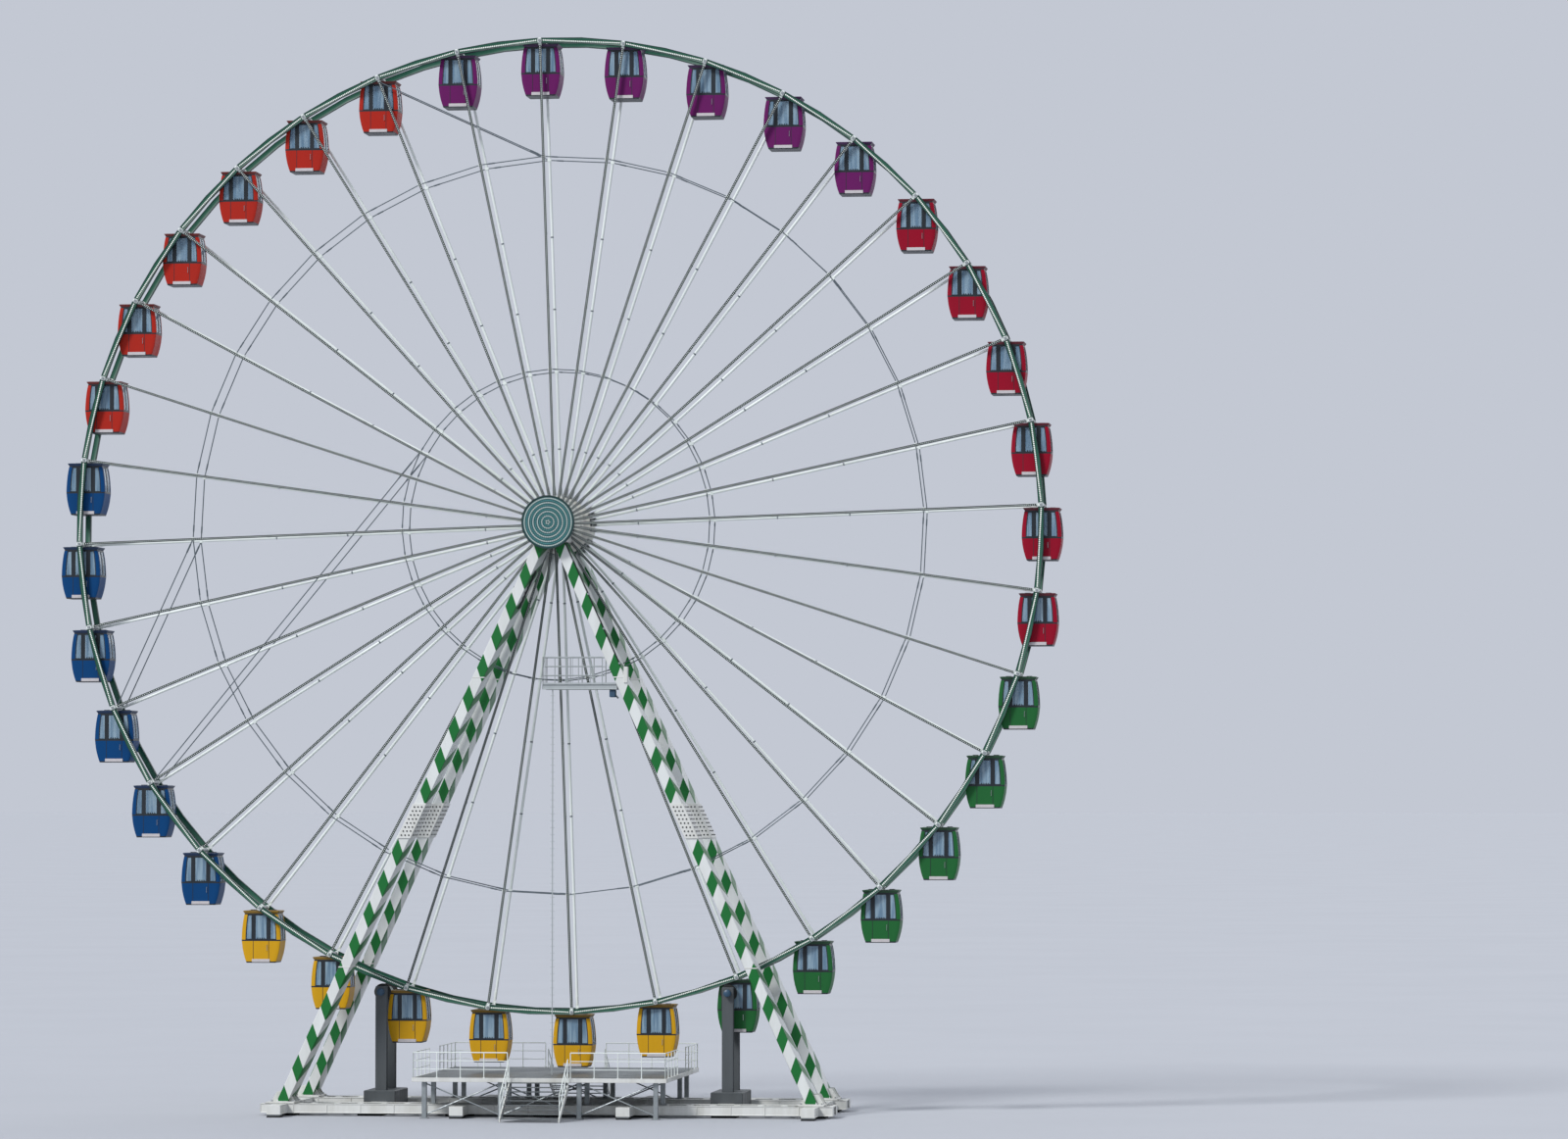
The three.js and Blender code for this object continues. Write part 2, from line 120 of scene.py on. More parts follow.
class Recipe:
    """A material in the making: its node tree and its Principled shader."""

    def __init__(self, material: bpy.types.Material) -> None:
        """Opens the material's node tree."""
        material.use_nodes = True
        self.tree = material.node_tree
        self.shader = self.tree.nodes["Principled BSDF"]

    def fill(self, entry: Socket, value: object) -> None:
        """Gives an input a value, or links it to an output."""
        if isinstance(value, Socket):
            self.tree.links.new(value, entry)
        else:
            entry.default_value = value

    def feed(self, name: str, value: object) -> None:
        """Fills an input of the shader."""
        self.fill(self.shader.inputs[name], value)

    def add(self, kind: str, feeds: dict | None = None,
            **settings: object) -> bpy.types.NodeOutputs:
        """Adds a node with its settings and inputs.

        Args:
            kind: The last part of the node's type name.
            feeds: Values or output sockets by input name or number.
            settings: Properties of the node.

        Returns:
            The new node's outputs.
        """
        made = self.tree.nodes.new(f"ShaderNode{kind}")
        for name, value in settings.items():
            setattr(made, name, value)
        for key, value in (feeds or {}).items():
            self.fill(made.inputs[key], value)
        return made.outputs

    def place(self) -> Socket:
        """The place on the piece, in metres of the model."""
        return self.add("TexCoord")["Object"]

    def sums(self, kind: str, first: object, second: object = 0.0) -> Socket:
        """One step of arithmetic."""
        return self.add("Math", {0: first, 1: second}, operation=kind)[0]

    def mapped(self, value: Socket, start: tuple[float, float],
               end: tuple[float, float]) -> Socket:
        """Maps the range that a value has to another one."""
        return self.add("MapRange", {
            "Value": value, 1: start[0], 2: start[1], 3: end[0], 4: end[1]})[0]

    def two_tone(self, share: object, first: object, second: object) -> None:
        """Gives the shader two colours.

        Args:
            share: How much of the second colour shows, as a socket or a number.
            first: Colour at a share of zero.
            second: Colour at a share of one.
        """
        self.feed("Base Color", self.add(
            "Mix", {0: share, 6: first, 7: second}, data_type="RGBA")[2])


@dataclass(frozen=True)
class Finish:
    """A plain surface, and what every other finish starts from."""

    name: str
    colour: str
    roughness: float
    metallic: float = 0.0
    coat: float = 0.0
    specular: float = 0.5

    def material(self) -> bpy.types.Material:
        """The finish as a material, made on first use.

        Returns:
            The material of this finish's name.
        """
        made = bpy.data.materials.get(self.name)
        if made:
            return made
        made = bpy.data.materials.new(self.name)
        mix = Recipe(made)
        for name, value in (
                ("Base Color", linear(self.colour)), ("Roughness", self.roughness),
                ("Metallic", self.metallic), ("Specular IOR Level", self.specular),
                ("Coat Weight", self.coat), ("Coat Roughness", 0.08)):
            mix.feed(name, value)
        self.pattern(mix)
        return made

    def pattern(self, mix: Recipe) -> None:
        """Adds what varies over the surface; a plain finish adds nothing."""


@dataclass(frozen=True)
class Weathered(Finish):
    """A paint, moulding or metal with patches, run-off streaks and a fine relief."""

    worn: str = "#808080"
    amount: float = 0.35
    patch: float = 0.5
    streak: float = 6.0
    grain: float = 0.01
    relief: float = 0.1

    def pattern(self, mix: Recipe) -> None:
        """Feeds colour, roughness and bump with noise of real sizes.

        Args:
            mix: The material in the making.
        """
        place = mix.place()
        drawn = mix.add("Mapping", {"Vector": place, "Scale": (1.0, 1.0, 1.0 / self.streak)})
        patches = mix.add("TexNoise", {
            "Vector": drawn[0], "Scale": 1.0 / self.patch, "Detail": 5.0, "Roughness": 0.6})[0]
        share = mix.mapped(patches, (0.42, 0.72), (0.0, self.amount))
        mix.two_tone(share, linear(self.colour), linear(self.worn))
        mix.feed("Roughness", mix.mapped(patches, (0.3, 0.7), (
            max(self.roughness - 0.06, 0.03), min(self.roughness + 0.12, 1.0))))
        grain = mix.add("TexNoise", {"Vector": place, "Scale": 1.0 / self.grain, "Detail": 2.0})
        mix.feed("Normal", mix.add("Bump", {
            "Height": grain[0], "Strength": self.relief, "Distance": self.grain / 4})[0])


@dataclass(frozen=True)
class HotDipZinc(Weathered):
    """Hot-dip galvanised steel, grey with flat crystals that reflect unevenly."""

    spangle: float = 0.05

    def pattern(self, mix: Recipe) -> None:
        """Breaks the colour and the gloss into crystals.

        Real crystals are about 15 mm across, and are drawn at 50 mm so that they show.

        Args:
            mix: The material in the making.
        """
        super().pattern(mix)
        crystals = mix.add("TexVoronoi", {"Vector": mix.place(), "Scale": 1.0 / self.spangle})
        tone = mix.add("SeparateColor", {0: crystals["Color"]})
        share = mix.mapped(tone[0], (0.0, 1.0), (0.0, 0.35))
        mix.two_tone(share, linear(self.colour), linear(self.worn))
        mix.feed("Roughness", mix.mapped(tone[1], (0.0, 1.0), (
            self.roughness - 0.1, self.roughness + 0.1)))


@dataclass(frozen=True)
class LampStrip(Finish):
    """A black extrusion with a row of round lamp lenses along each spoke."""

    lens: str = "#D3DED9"
    pitch: float = 0.083
    lens_radius: float = 0.0195

    def pattern(self, mix: Recipe) -> None:
        """Sets one round lens per pitch, counted outwards from the hub's axis.

        Args:
            mix: The material in the making.
        """
        sums = mix.sums

        def length(first: object, second: object) -> Socket:
            """The long side of a right-angled triangle."""
            return sums(
                "SQRT",
                sums("ADD", sums("MULTIPLY", first, first), sums("MULTIPLY", second, second)))

        where = mix.add("SeparateXYZ", {0: mix.place()})
        x, rise = where[0], sums("SUBTRACT", where[2], HUB_HEIGHT * HALF)
        radius = length(x, rise)
        angle = sums("SUBTRACT", sums("ARCTAN2", x, rise), REST_TURN)
        bay = sums("PINGPONG", sums("DIVIDE", angle, BAY_ANGLE), 0.5)
        across = sums("MULTIPLY", sums("MULTIPLY", bay, BAY_ANGLE), radius)
        pitch = self.pitch * HALF
        along = sums("MULTIPLY", sums("PINGPONG", sums("DIVIDE", radius, pitch), 0.5), pitch)
        spot = sums("LESS_THAN", length(across, along), self.lens_radius * HALF)
        mix.two_tone(spot, linear(self.colour), linear(self.lens))


@dataclass(frozen=True)
class LegPaint(Weathered):
    """White enamel with slanting green bands that read as diamonds on a leaning leg."""

    band: str = "#0C6429"
    period: float = 1.33
    share: float = 0.45
    slant: float = 0.62
    start: float = 21.99
    splice_low: float = 11.93
    splice_high: float = 13.47
    foot: float = 0.62

    def pattern(self, mix: Recipe) -> None:
        """Paints the bands from the height and the place across the leg.

        Args:
            mix: The material in the making.
        """
        super().pattern(mix)
        ground = mix.shader.inputs["Base Color"].links[0].from_socket
        sums = mix.sums
        where = mix.add("SeparateXYZ", {0: mix.place()})
        x, y, z = (sums("DIVIDE", where[axis], HALF) for axis in range(3))
        facing_x = mix.add("SeparateXYZ", {0: mix.add("NewGeometry")["Normal"]})[0]
        drop = sums("SUBTRACT", HUB_HEIGHT, z)
        middle_x = sums("MULTIPLY", drop, Leg.slope_x)
        middle_y = sums("ADD", sums("MULTIPLY", drop, Leg.slope_y), Leg.offset)
        across = sums("DIVIDE", sums("SUBTRACT", sums("ABSOLUTE", x), middle_x), Leg.width)
        along = sums("DIVIDE", sums("SUBTRACT", sums("ABSOLUTE", y), middle_y), Leg.depth)
        on_front = sums("SUBTRACT", 0.5, across)
        inward = sums("LESS_THAN", sums("MULTIPLY", facing_x, x), 0.0)
        turn = sums("SUBTRACT", sums("MULTIPLY", inward, 2.0), 1.0)
        on_side = sums("ADD", sums("MULTIPLY", along, turn), 0.5)
        sideways = sums("GREATER_THAN", sums("ABSOLUTE", facing_x), 0.6)
        spread = mix.add("Mix", {0: sideways, 2: on_front, 3: on_side})[0]
        slanted = sums("ADD", sums("MULTIPLY", spread, self.slant), sums("SUBTRACT", z, self.start))
        banded = sums("LESS_THAN", sums("FRACT", sums("DIVIDE", slanted, self.period)), self.share)
        bare = sums(
            "ADD", sums("LESS_THAN", z, self.splice_low), sums("GREATER_THAN", z, self.splice_high))
        raised = sums("GREATER_THAN", z, self.foot)
        shown = sums("MULTIPLY", sums("MULTIPLY", banded, bare), raised)
        mix.two_tone(shown, ground, linear(self.band))


@dataclass(frozen=True)
class TreadPlate(Weathered):
    """Aluminium tread plate with raised bars in two directions."""

    bar: float = 0.06

    def pattern(self, mix: Recipe) -> None:
        """Adds the raised bars, real ones 30 mm apart and drawn at 60 mm so that they show.

        Args:
            mix: The material in the making.
        """
        super().pattern(mix)
        turned = mix.add("Mapping", {
            "Vector": mix.place(), "Rotation": (0.0, 0.0, math.radians(45))})
        bars = mix.add("TexBrick", {
            "Vector": turned[0], "Scale": 1.0, "Mortar Size": self.bar * 0.2,
            "Brick Width": self.bar, "Row Height": self.bar / 2})["Fac"]
        mix.feed("Normal", mix.add("Bump", {"Height": bars, "Strength": 0.6, "Distance": 0.003})[0])
        ground = mix.shader.inputs["Base Color"].links[0].from_socket
        mix.two_tone(bars, ground, linear(self.worn))


@dataclass(frozen=True)
class WindowGlass(Finish):
    """Tinted safety glass with lighter upright streaks of painted reflection."""

    smear: str = "#A9C2D0"
    opacity: float = 0.62
    width: float = 0.07
    length: float = 0.9

    def pattern(self, mix: Recipe) -> None:
        """Lets part of what is behind show through and draws the streaks of painted reflection.

        Args:
            mix: The material in the making.
        """
        mix.feed("Alpha", self.opacity)
        mix.feed("IOR", 1.52)
        across, along = 1.0 / self.width, 1.0 / self.length
        drawn = mix.add("Mapping", {"Vector": mix.place(), "Scale": (across, across, along)})
        # Lighter upright streaks: a painted reflection.
        reflection_streaks = mix.add("TexNoise", {"Vector": drawn[0], "Scale": 1.0, "Detail": 3.0})
        share = mix.mapped(reflection_streaks[0], (0.4, 0.65), (0.0, 0.75))
        mix.two_tone(share, linear(self.colour), linear(self.smear))


# Polyester powder coat on the rims: even dark green with a soft sheen, chalky in patches.
RIM_GREEN = Weathered("rim_green_powder_coat", "#0E4D39", 0.4, worn="#1D6049", patch=0.6)
# The same coat painted darker on the rim's lips: painted shade where they turn away from the light,
# and road dirt.
RIM_LIP_SHADE_AND_DIRT = Weathered("rim_lip_painted_shade_and_dirt", "#08302A", 0.45, worn="#12463A", patch=0.4)
# Baked white enamel on tubes: bright and slick, with faint grey run-off.
TUBE_WHITE = Weathered("tube_white_enamel", "#DDE3DF", 0.36, worn="#B4BCB6", patch=0.5, relief=0.02)
# Black anodised extrusion that holds the spokes' lamps.
SPOKE_STRIP = LampStrip("spoke_lamp_strip", "#141C1B", 0.5)
# Dark green extrusion under the rim's lamp row.
RIM_STRIP = Weathered("rim_lamp_strip", "#12301F", 0.5, worn="#1E4630", amount=0.3)
# Moulded polycarbonate lens: white by day, waxy and bright.
LENS = Weathered(
    "lamp_lens_polycarbonate", "#EDF3EA", 0.2, worn="#D5DED2", coat=0.4, patch=0.3, streak=1.0)
# The same lens with a smoked tint, for every other ring of the hub discs.
LENS_DIM = Weathered("lamp_lens_smoked", "#62ABAB", 0.28, worn="#4A9292", patch=0.3, streak=1.0)
# Teal enamel on the hub discs.
DISC_TEAL = Weathered("disc_teal_enamel", "#10484A", 0.4, worn="#1F5F60", patch=0.25)
DISC_EDGE = Weathered("disc_edge_enamel", "#0A2B29", 0.4, worn="#16423E", patch=0.25)
# White leg enamel with its green bands, greyed by run-off.
LEG_PAINT = LegPaint(
    "leg_band_enamel", "#D3D6D4", 0.42, worn="#B3B4AE", amount=0.45, patch=0.4, specular=0.3)
# The same white without bands, for beams, plates and bearing heads.
PLATE_WHITE = Weathered(
    "plate_white_enamel", "#D0D1CD", 0.42, worn="#A5A398", amount=0.5, patch=0.35)
# Greased steel round the axle, brown with dust.
BEARING_STEEL = Weathered(
    "greased_bearing_steel", "#6B6055", 0.5, metallic=0.5, worn="#3D352C", patch=0.2, streak=1.0)
# Grey enamel on the hub, stained by grease that the bearings throw.
HUB_GREY = Weathered(
    "hub_grey_enamel", "#D6D4CC", 0.5, worn="#8E8678", amount=0.5, patch=0.3, streak=1.0)
# Dull zinc on the fitter's platform and its rails.
PLATFORM_ZINC = Weathered(
    "platform_dull_zinc", "#A4AAAB", 0.6, metallic=0.1, worn="#868D90", patch=0.3)
# Weathered zinc on the thin rods and clips: dark grey, with no shine left.
ROD_ZINC = Weathered("rod_weathered_zinc", "#59636A", 0.55, metallic=0.3, worn="#434B50", patch=0.4)
ZINC = HotDipZinc("hot_dip_zinc", "#9AA0A2", 0.5, metallic=0.7, worn="#7C8386", patch=0.3)
# Stainless bolt heads, small and bright.
STAINLESS = Weathered(
    "stainless_bolt", "#B9BCBD", 0.3, metallic=1.0, worn="#8E9192", patch=0.05, streak=1.0)
# Blackened bolts of the splices.
BOLT_BLACK = Weathered(
    "blackened_bolt", "#1C1E1F", 0.45, metallic=0.6, worn="#3A3A38", patch=0.05, streak=1.0)
DECK_PLATE = TreadPlate(
    "deck_tread_plate", "#8A8F90", 0.45, metallic=0.6, worn="#6C7172", patch=0.5, streak=1.0)
DRIVE_PAINT = Weathered("drive_grey_enamel", "#4A4F52", 0.5, worn="#35383A", patch=0.2)
MOTOR_BLUE = Weathered("motor_blue_enamel", "#2C4A63", 0.4, worn="#1E3346", patch=0.1)
# Vulcanised rubber of tyres, pads and seals: black, matt and dusty.
RUBBER = Weathered("vulcanised_rubber", "#1B1C1D", 0.8, worn="#3B3A37", patch=0.1, streak=1.0)
CONDUIT = Weathered("black_conduit", "#16181A", 0.5, worn="#2C2E30", patch=0.2)
# Anodised window profiles, nearly black; the same colour is painted as shade on the cabins' band
# under the roof, their lowest band and under their steps.
PROFILE_AND_PAINTED_SHADE = Weathered(
    "window_profile_and_painted_shade", "#1B2228", 0.4, metallic=0.3, worn="#2C343B", patch=0.3)
# Window glass, streaked with painted reflection.
GLASS = WindowGlass("window_safety_glass", "#6C8BA3", 0.06)
# Fibreglass benches and lining.
LINING = Weathered("cabin_lining_fibreglass", "#C9CDD0", 0.5, worn="#A7ACB0", patch=0.2)
BENCH = Weathered("bench_moulded_plastic", "#4B5660", 0.5, worn="#3A434B", patch=0.15)
STEP = Weathered(
    "step_cast_aluminium", "#C2BDBE", 0.5, metallic=0.3, worn="#A19C9C", patch=0.1, streak=1.0)


class CabinColour(Enum):
    """The six groups of six cabins, clockwise: slot, shell and darker roof, the roof's darkness
    partly painted shade.
    """

    PURPLE = ("cabin_purple", "#621858", "#3A1A46")
    RED = ("cabin_red", "#8C0A24", "#540D1E")
    GREEN = ("cabin_green", "#215E30", "#163E24")
    YELLOW = ("cabin_yellow", "#C4941A", "#7E6016")
    BLUE = ("cabin_blue", "#053D6E", "#082647")
    ORANGE = ("cabin_orange", "#A5261A", "#5E1A15")

    @property
    def slot(self) -> str:
        """The record's material slot of this colour."""
        return self.value[0]

    def shell(self) -> Weathered:
        """Gel-coated fibreglass: deep colour, its gloss dulled by sun and washing."""
        return Weathered(f"{self.slot}_gelcoat", self.value[1], 0.45, specular=0.1, coat=0.03,
                         worn=self.value[2], amount=0.12, patch=0.5, grain=0.2, relief=0.03)

    def roof(self) -> Weathered:
        """The roof's coarser top coat, darker than the shell, partly as painted shade."""
        return Weathered(f"{self.slot}_roof_coat", self.value[2], 0.5,
                         worn=self.value[1], amount=0.15, patch=0.3)


class Editing:
    """Edit mode on one piece, with selection by place and facing."""

    def __init__(self, piece: Piece) -> None:
        """Remembers the piece."""
        self.piece = piece

    def __enter__(self) -> "Editing":
        """Opens edit mode with nothing selected."""
        Bench.take(self.piece)
        bpy.ops.object.mode_set(mode="EDIT")
        bpy.ops.mesh.select_mode(type="FACE")
        bpy.ops.mesh.select_all(action="DESELECT")
        return self

    def __exit__(self, *problem: object) -> None:
        """Goes back to object mode."""
        bpy.ops.object.mode_set(mode="OBJECT")

    def pick(self, mode: str, kind: str, test: Callable[[object], bool]) -> None:
        """Selects the parts of one kind that pass a test, and no others.

        Args:
            mode: The select mode.
            kind: What the mesh calls these parts.
            test: Takes a part.
        """
        bpy.ops.mesh.select_mode(type=mode)
        shape = bmesh.from_edit_mesh(self.piece.data)
        for part in getattr(shape, kind):
            part.select = test(part)
        shape.select_flush_mode()
        bmesh.update_edit_mesh(self.piece.data)

    def faces(self, test: FaceTest) -> None:
        """Selects the faces whose centre and normal pass a test."""
        self.pick("FACE", "faces", lambda face: test(face.calc_center_median(), face.normal))

    def edges(self, test: FaceTest) -> None:
        """Selects the edges whose middle and direction pass a test."""
        def passes(edge: bmesh.types.BMEdge) -> bool:
            """Whether one edge passes."""
            start, end = (corner.co for corner in edge.verts)
            return test((start + end) / 2, (end - start).normalized())

        self.pick("EDGE", "edges", passes)

    def points(self, test: SpotTest) -> None:
        """Selects the corners whose place passes a test."""
        self.pick("VERT", "verts", lambda corner: test(corner.co))

    def inset(self, test: FaceTest, width: float, depth: float) -> None:
        """Sets each face that passes a test in by a margin.

        Args:
            test: Takes a face's centre and normal.
            width: Width of the margin.
            depth: How far the middle stands out, or in below zero.
        """
        self.faces(test)
        bpy.ops.mesh.inset(thickness=width, depth=depth, use_individual=True)

    def move(self, test: SpotTest, shift: Point) -> None:
        """Moves the corners whose place passes a test."""
        self.points(test)
        bpy.ops.transform.translate(value=shift)

    def stretch(self, test: SpotTest, shares: Point, centre: Point = (0, 0, 0)) -> None:
        """Scales the corners whose place passes a test about a centre."""
        self.points(test)
        bpy.ops.transform.resize(value=shares, center_override=centre)

    def soften(self, width: float, segments: int = 1) -> None:
        """Bevels every edge."""
        bpy.ops.mesh.select_all(action="SELECT")
        bpy.ops.mesh.bevel(offset=width, segments=segments, affect="EDGES")

    def cut(self, place: Point, normal: Point) -> None:
        """Cuts all faces along a plane.

        Args:
            place: A point of the plane.
            normal: The plane's direction.
        """
        bpy.ops.mesh.select_all(action="SELECT")
        bpy.ops.mesh.bisect(plane_co=place, plane_no=normal)

    def paint(self, finish: Finish) -> None:
        """Gives the selected faces a finish of their own.

        Args:
            finish: The finish, added to the piece if it is new there.
        """
        shape = bmesh.from_edit_mesh(self.piece.data)
        index = Bench.slot_of(self.piece, finish)
        for face in shape.faces:
            if face.select:
                face.material_index = index
        bmesh.update_edit_mesh(self.piece.data)


class Bench:
    """The moves that pieces are made with, in metres of the real wheel."""

    @staticmethod
    def take(piece: Piece) -> None:
        """Makes one piece active and the only one selected."""
        bpy.ops.object.select_all(action="DESELECT")
        piece.select_set(True)
        bpy.context.view_layer.objects.active = piece

    @staticmethod
    def slot_of(piece: Piece, finish: Finish) -> int:
        """Number of the piece's slot for a finish.

        Args:
            piece: The piece.
            finish: The finish, added if it is new.

        Returns:
            The slot's number.
        """
        held = piece.data.materials
        wanted = finish.material()
        if wanted.name not in held:
            held.append(wanted)
        return held.find(wanted.name)

    @staticmethod
    def block(low: Point, high: Point, finish: Finish, edge: float = 0.0) -> Piece:
        """A box with softened edges between two corners.

        Args:
            low: Its lowest corner.
            high: Its highest corner.
            finish: Its finish.
            edge: Width of the bevel.

        Returns:
            The new piece.
        """
        bottom, top = Vector(low), Vector(high)
        bpy.ops.object.select_all(action="DESELECT")
        bpy.ops.mesh.primitive_cube_add(size=1, location=(bottom + top) / 2, scale=top - bottom)
        piece = bpy.context.object
        bpy.ops.object.transform_apply(location=True, rotation=False, scale=True)
        Bench.slot_of(piece, finish)
        if edge:
            with Editing(piece) as edit:
                edit.soften(edge)
        return piece

    @staticmethod
    def upright(middle: Point, half: Point, levels: tuple[float, float], finish: Finish,
                edge: float = 0.0) -> Piece:
        """A box that stands on a middle point.

        Args:
            middle: Its middle, across and along the axle.
            half: Half its size in the same two directions.
            levels: Heights of its lower and upper end.
            finish: Its finish.
            edge: Width of the bevel.

        Returns:
            The new piece.
        """
        return Bench.block(
            (middle[0] - half[0], middle[1] - half[1], levels[0]),
            (middle[0] + half[0], middle[1] + half[1], levels[1]), finish, edge)

    @staticmethod
    def turned(steps: Steps, sides: int, finish: Finish, hollow: bool = False) -> Piece:
        """A turned shape on the Z axis.

        Args:
            steps: Radius and height of each ring, from the bottom up, or once round the wall of
                a hollow shape.
            sides: Number of sides.
            finish: Its finish.
            hollow: Whether the rings close round an open bore.

        Returns:
            The new piece.
        """
        radius, height = steps[0]
        bpy.ops.object.select_all(action="DESELECT")
        bpy.ops.mesh.primitive_circle_add(
            vertices=sides, radius=radius, fill_type="NOTHING" if hollow else "NGON")
        piece = bpy.context.object
        piece.data.transform(Matrix.Translation((0, 0, height)))
        Bench.slot_of(piece, finish)
        with Editing(piece):
            bpy.ops.mesh.select_mode(type="EDGE" if hollow else "FACE")
            bpy.ops.mesh.select_all(action="SELECT")
            for next_radius, next_height in steps[1:]:
                bpy.ops.mesh.extrude_region_move(
                    TRANSFORM_OT_translate={"value": (0, 0, next_height - height)})
                share = next_radius / radius
                bpy.ops.transform.resize(
                    value=(share, share, 1), center_override=(0, 0, next_height))
                radius, height = next_radius, next_height
            bpy.ops.mesh.select_all(action="SELECT")
            if hollow:
                bpy.ops.mesh.remove_doubles(threshold=0.0001)
            bpy.ops.mesh.normals_make_consistent(inside=False)
        return piece

    @staticmethod
    def aimed(start: Point, end: Point) -> Matrix:
        """A frame at the start whose Z runs to the end and whose Y keeps near the axle.

        Args:
            start: Where the frame sits.
            end: Where its Z axis points.

        Returns:
            The frame as a matrix.
        """
        along = (Vector(end) - Vector(start)).normalized()
        guide = Vector((0, 1, 0)) if abs(along.y) < 0.9 else Vector((0, 0, 1))
        across = guide.cross(along).normalized()
        turn = Matrix((across, along.cross(across), along)).transposed()
        return Matrix.Translation(start) @ turn.to_4x4()

    @staticmethod
    def tube(start: Point, end: Point, radius: float, finish: Finish, sides: int = 8,
             end_radius: float | None = None, rim: float = 0.0) -> Piece:
        """A round bar from one point to another.

        Args:
            start: Middle of one end.
            end: Middle of the other.
            radius: Its radius at the start.
            finish: Its finish.
            sides: Number of sides.
            end_radius: Its radius at the end, if that differs.
            rim: Width of the softened edge at both ends.

        Returns:
            The new piece.
        """
        length = (Vector(end) - Vector(start)).length
        last = radius if end_radius is None else end_radius
        steps = [(radius, 0.0), (last, length)]
        if rim:
            steps = [(radius - rim, 0.0), (radius, rim), (last, length - rim), (last - rim, length)]
        piece = Bench.turned(steps, sides, finish)
        piece.data.transform(Bench.aimed(start, end))
        return piece

    @staticmethod
    def bar(start: Point, end: Point, width: float, depth: float, finish: Finish,
            edge: float = 0.0) -> Piece:
        """A flat bar from one point to another, its depth along the axle.

        Args:
            start: Middle of one end.
            end: Middle of the other.
            width: Its size across.
            depth: Its size along the axle.
            finish: Its finish.
            edge: Width of the bevel.

        Returns:
            The new piece.
        """
        length = (Vector(end) - Vector(start)).length
        piece = Bench.block(
            (-width / 2, -depth / 2, 0), (width / 2, depth / 2, length), finish, edge)
        piece.data.transform(Bench.aimed(start, end))
        return piece

    @staticmethod
    def bent(points: Sequence[Point], radius: float, finish: Finish, sides: int = 6) -> Piece:
        """A bent tube through points, such as a handrail.

        Args:
            points: Its middle line.
            radius: Its radius.
            finish: Its finish.
            sides: Number of sides, even.

        Returns:
            The new piece.
        """
        line = bpy.data.curves.new("bent", "CURVE")
        line.dimensions = "3D"
        line.bevel_depth = radius
        line.bevel_resolution = sides // 2 - 2
        line.use_fill_caps = True
        path = line.splines.new("POLY")
        path.points.add(len(points) - 1)
        for spot, place in zip(path.points, points):
            spot.co = (*place, 1.0)
        piece = bpy.data.objects.new("bent", line)
        bpy.context.scene.collection.objects.link(piece)
        Bench.take(piece)
        bpy.ops.object.convert(target="MESH")
        piece = bpy.context.object
        Bench.slot_of(piece, finish)
        return piece

    @staticmethod
    def bolt(radius: float, height: float, finish: Finish) -> Piece:
        """A six-sided bolt head on a washer, pointing along +Z."""
        return Bench.turned([
            (radius * 1.35, 0.0), (radius * 1.35, height * 0.2), (radius, height * 0.2),
            (radius, height * 0.85), (radius * 0.8, height)], 6, finish)

    @staticmethod
    def thicken(piece: Piece, wall: float, lining: int = 0) -> None:
        """Gives an open shell a wall inwards.

        Args:
            piece: The shell.
            wall: Its thickness.
            lining: How many slots on the inner face's finish lies.
        """
        Bench.take(piece)
        wanted = piece.modifiers.new("wall", "SOLIDIFY")
        wanted.thickness = wall
        wanted.offset = -1
        wanted.use_even_offset = True
        wanted.material_offset = lining
        bpy.ops.object.modifier_apply(modifier="wall")

    @staticmethod
    def join(pieces: Sequence[Piece]) -> Piece:
        """Makes one mesh of several pieces.

        Args:
            pieces: The pieces, which end in the first of them.

        Returns:
            The joined piece.
        """
        Bench.take(pieces[0])
        for piece in pieces[1:]:
            piece.select_set(True)
        if len(pieces) > 1:
            bpy.ops.object.join()
        return pieces[0]

    @staticmethod
    def repeat(piece: Piece, places: Sequence[Matrix]) -> Piece:
        """Turns a piece into one mesh with a copy of it at each place.

        Args:
            piece: The piece modelled once.
            places: Where each copy goes, without mirroring.

        Returns:
            The same object with its new mesh.
        """
        source = piece.data
        corners, loops, faces = (
            len(source.vertices), len(source.loops), len(source.polygons))
        spots = np.empty(corners * 3, np.float32)
        source.vertices.foreach_get("co", spots)
        spots = spots.reshape(-1, 3)
        ends = np.empty(loops, np.int32)
        source.loops.foreach_get("vertex_index", ends)
        starts = np.empty(faces, np.int32)
        source.polygons.foreach_get("loop_start", starts)
        skins = np.empty(faces, np.int32)
        source.polygons.foreach_get("material_index", skins)
        count = len(places)
        moves = np.array([np.array(place) for place in places], np.float32)
        moved = np.einsum("nij,vj->nvi", moves[:, :3, :3], spots) + moves[:, None, :3, 3]
        order = np.arange(count, dtype=np.int32)[:, None]
        made = bpy.data.meshes.new(piece.name)
        made.vertices.add(corners * count)
        made.loops.add(loops * count)
        made.polygons.add(faces * count)
        made.vertices.foreach_set("co", moved.astype(np.float32).ravel())
        made.loops.foreach_set("vertex_index", (ends[None] + corners * order).ravel())
        made.polygons.foreach_set("loop_start", (starts[None] + loops * order).ravel())
        made.polygons.foreach_set("material_index", np.tile(skins, count))
        for material in source.materials:
            made.materials.append(material)
        made.update(calc_edges=True)
        made.validate()
        piece.data = made
        bpy.data.meshes.remove(source)
        return piece

    @staticmethod
    def copy(piece: Piece) -> Piece:
        """A copy of a piece with its own mesh."""
        twin = piece.copy()
        twin.data = piece.data.copy()
        bpy.context.scene.collection.objects.link(twin)
        return twin

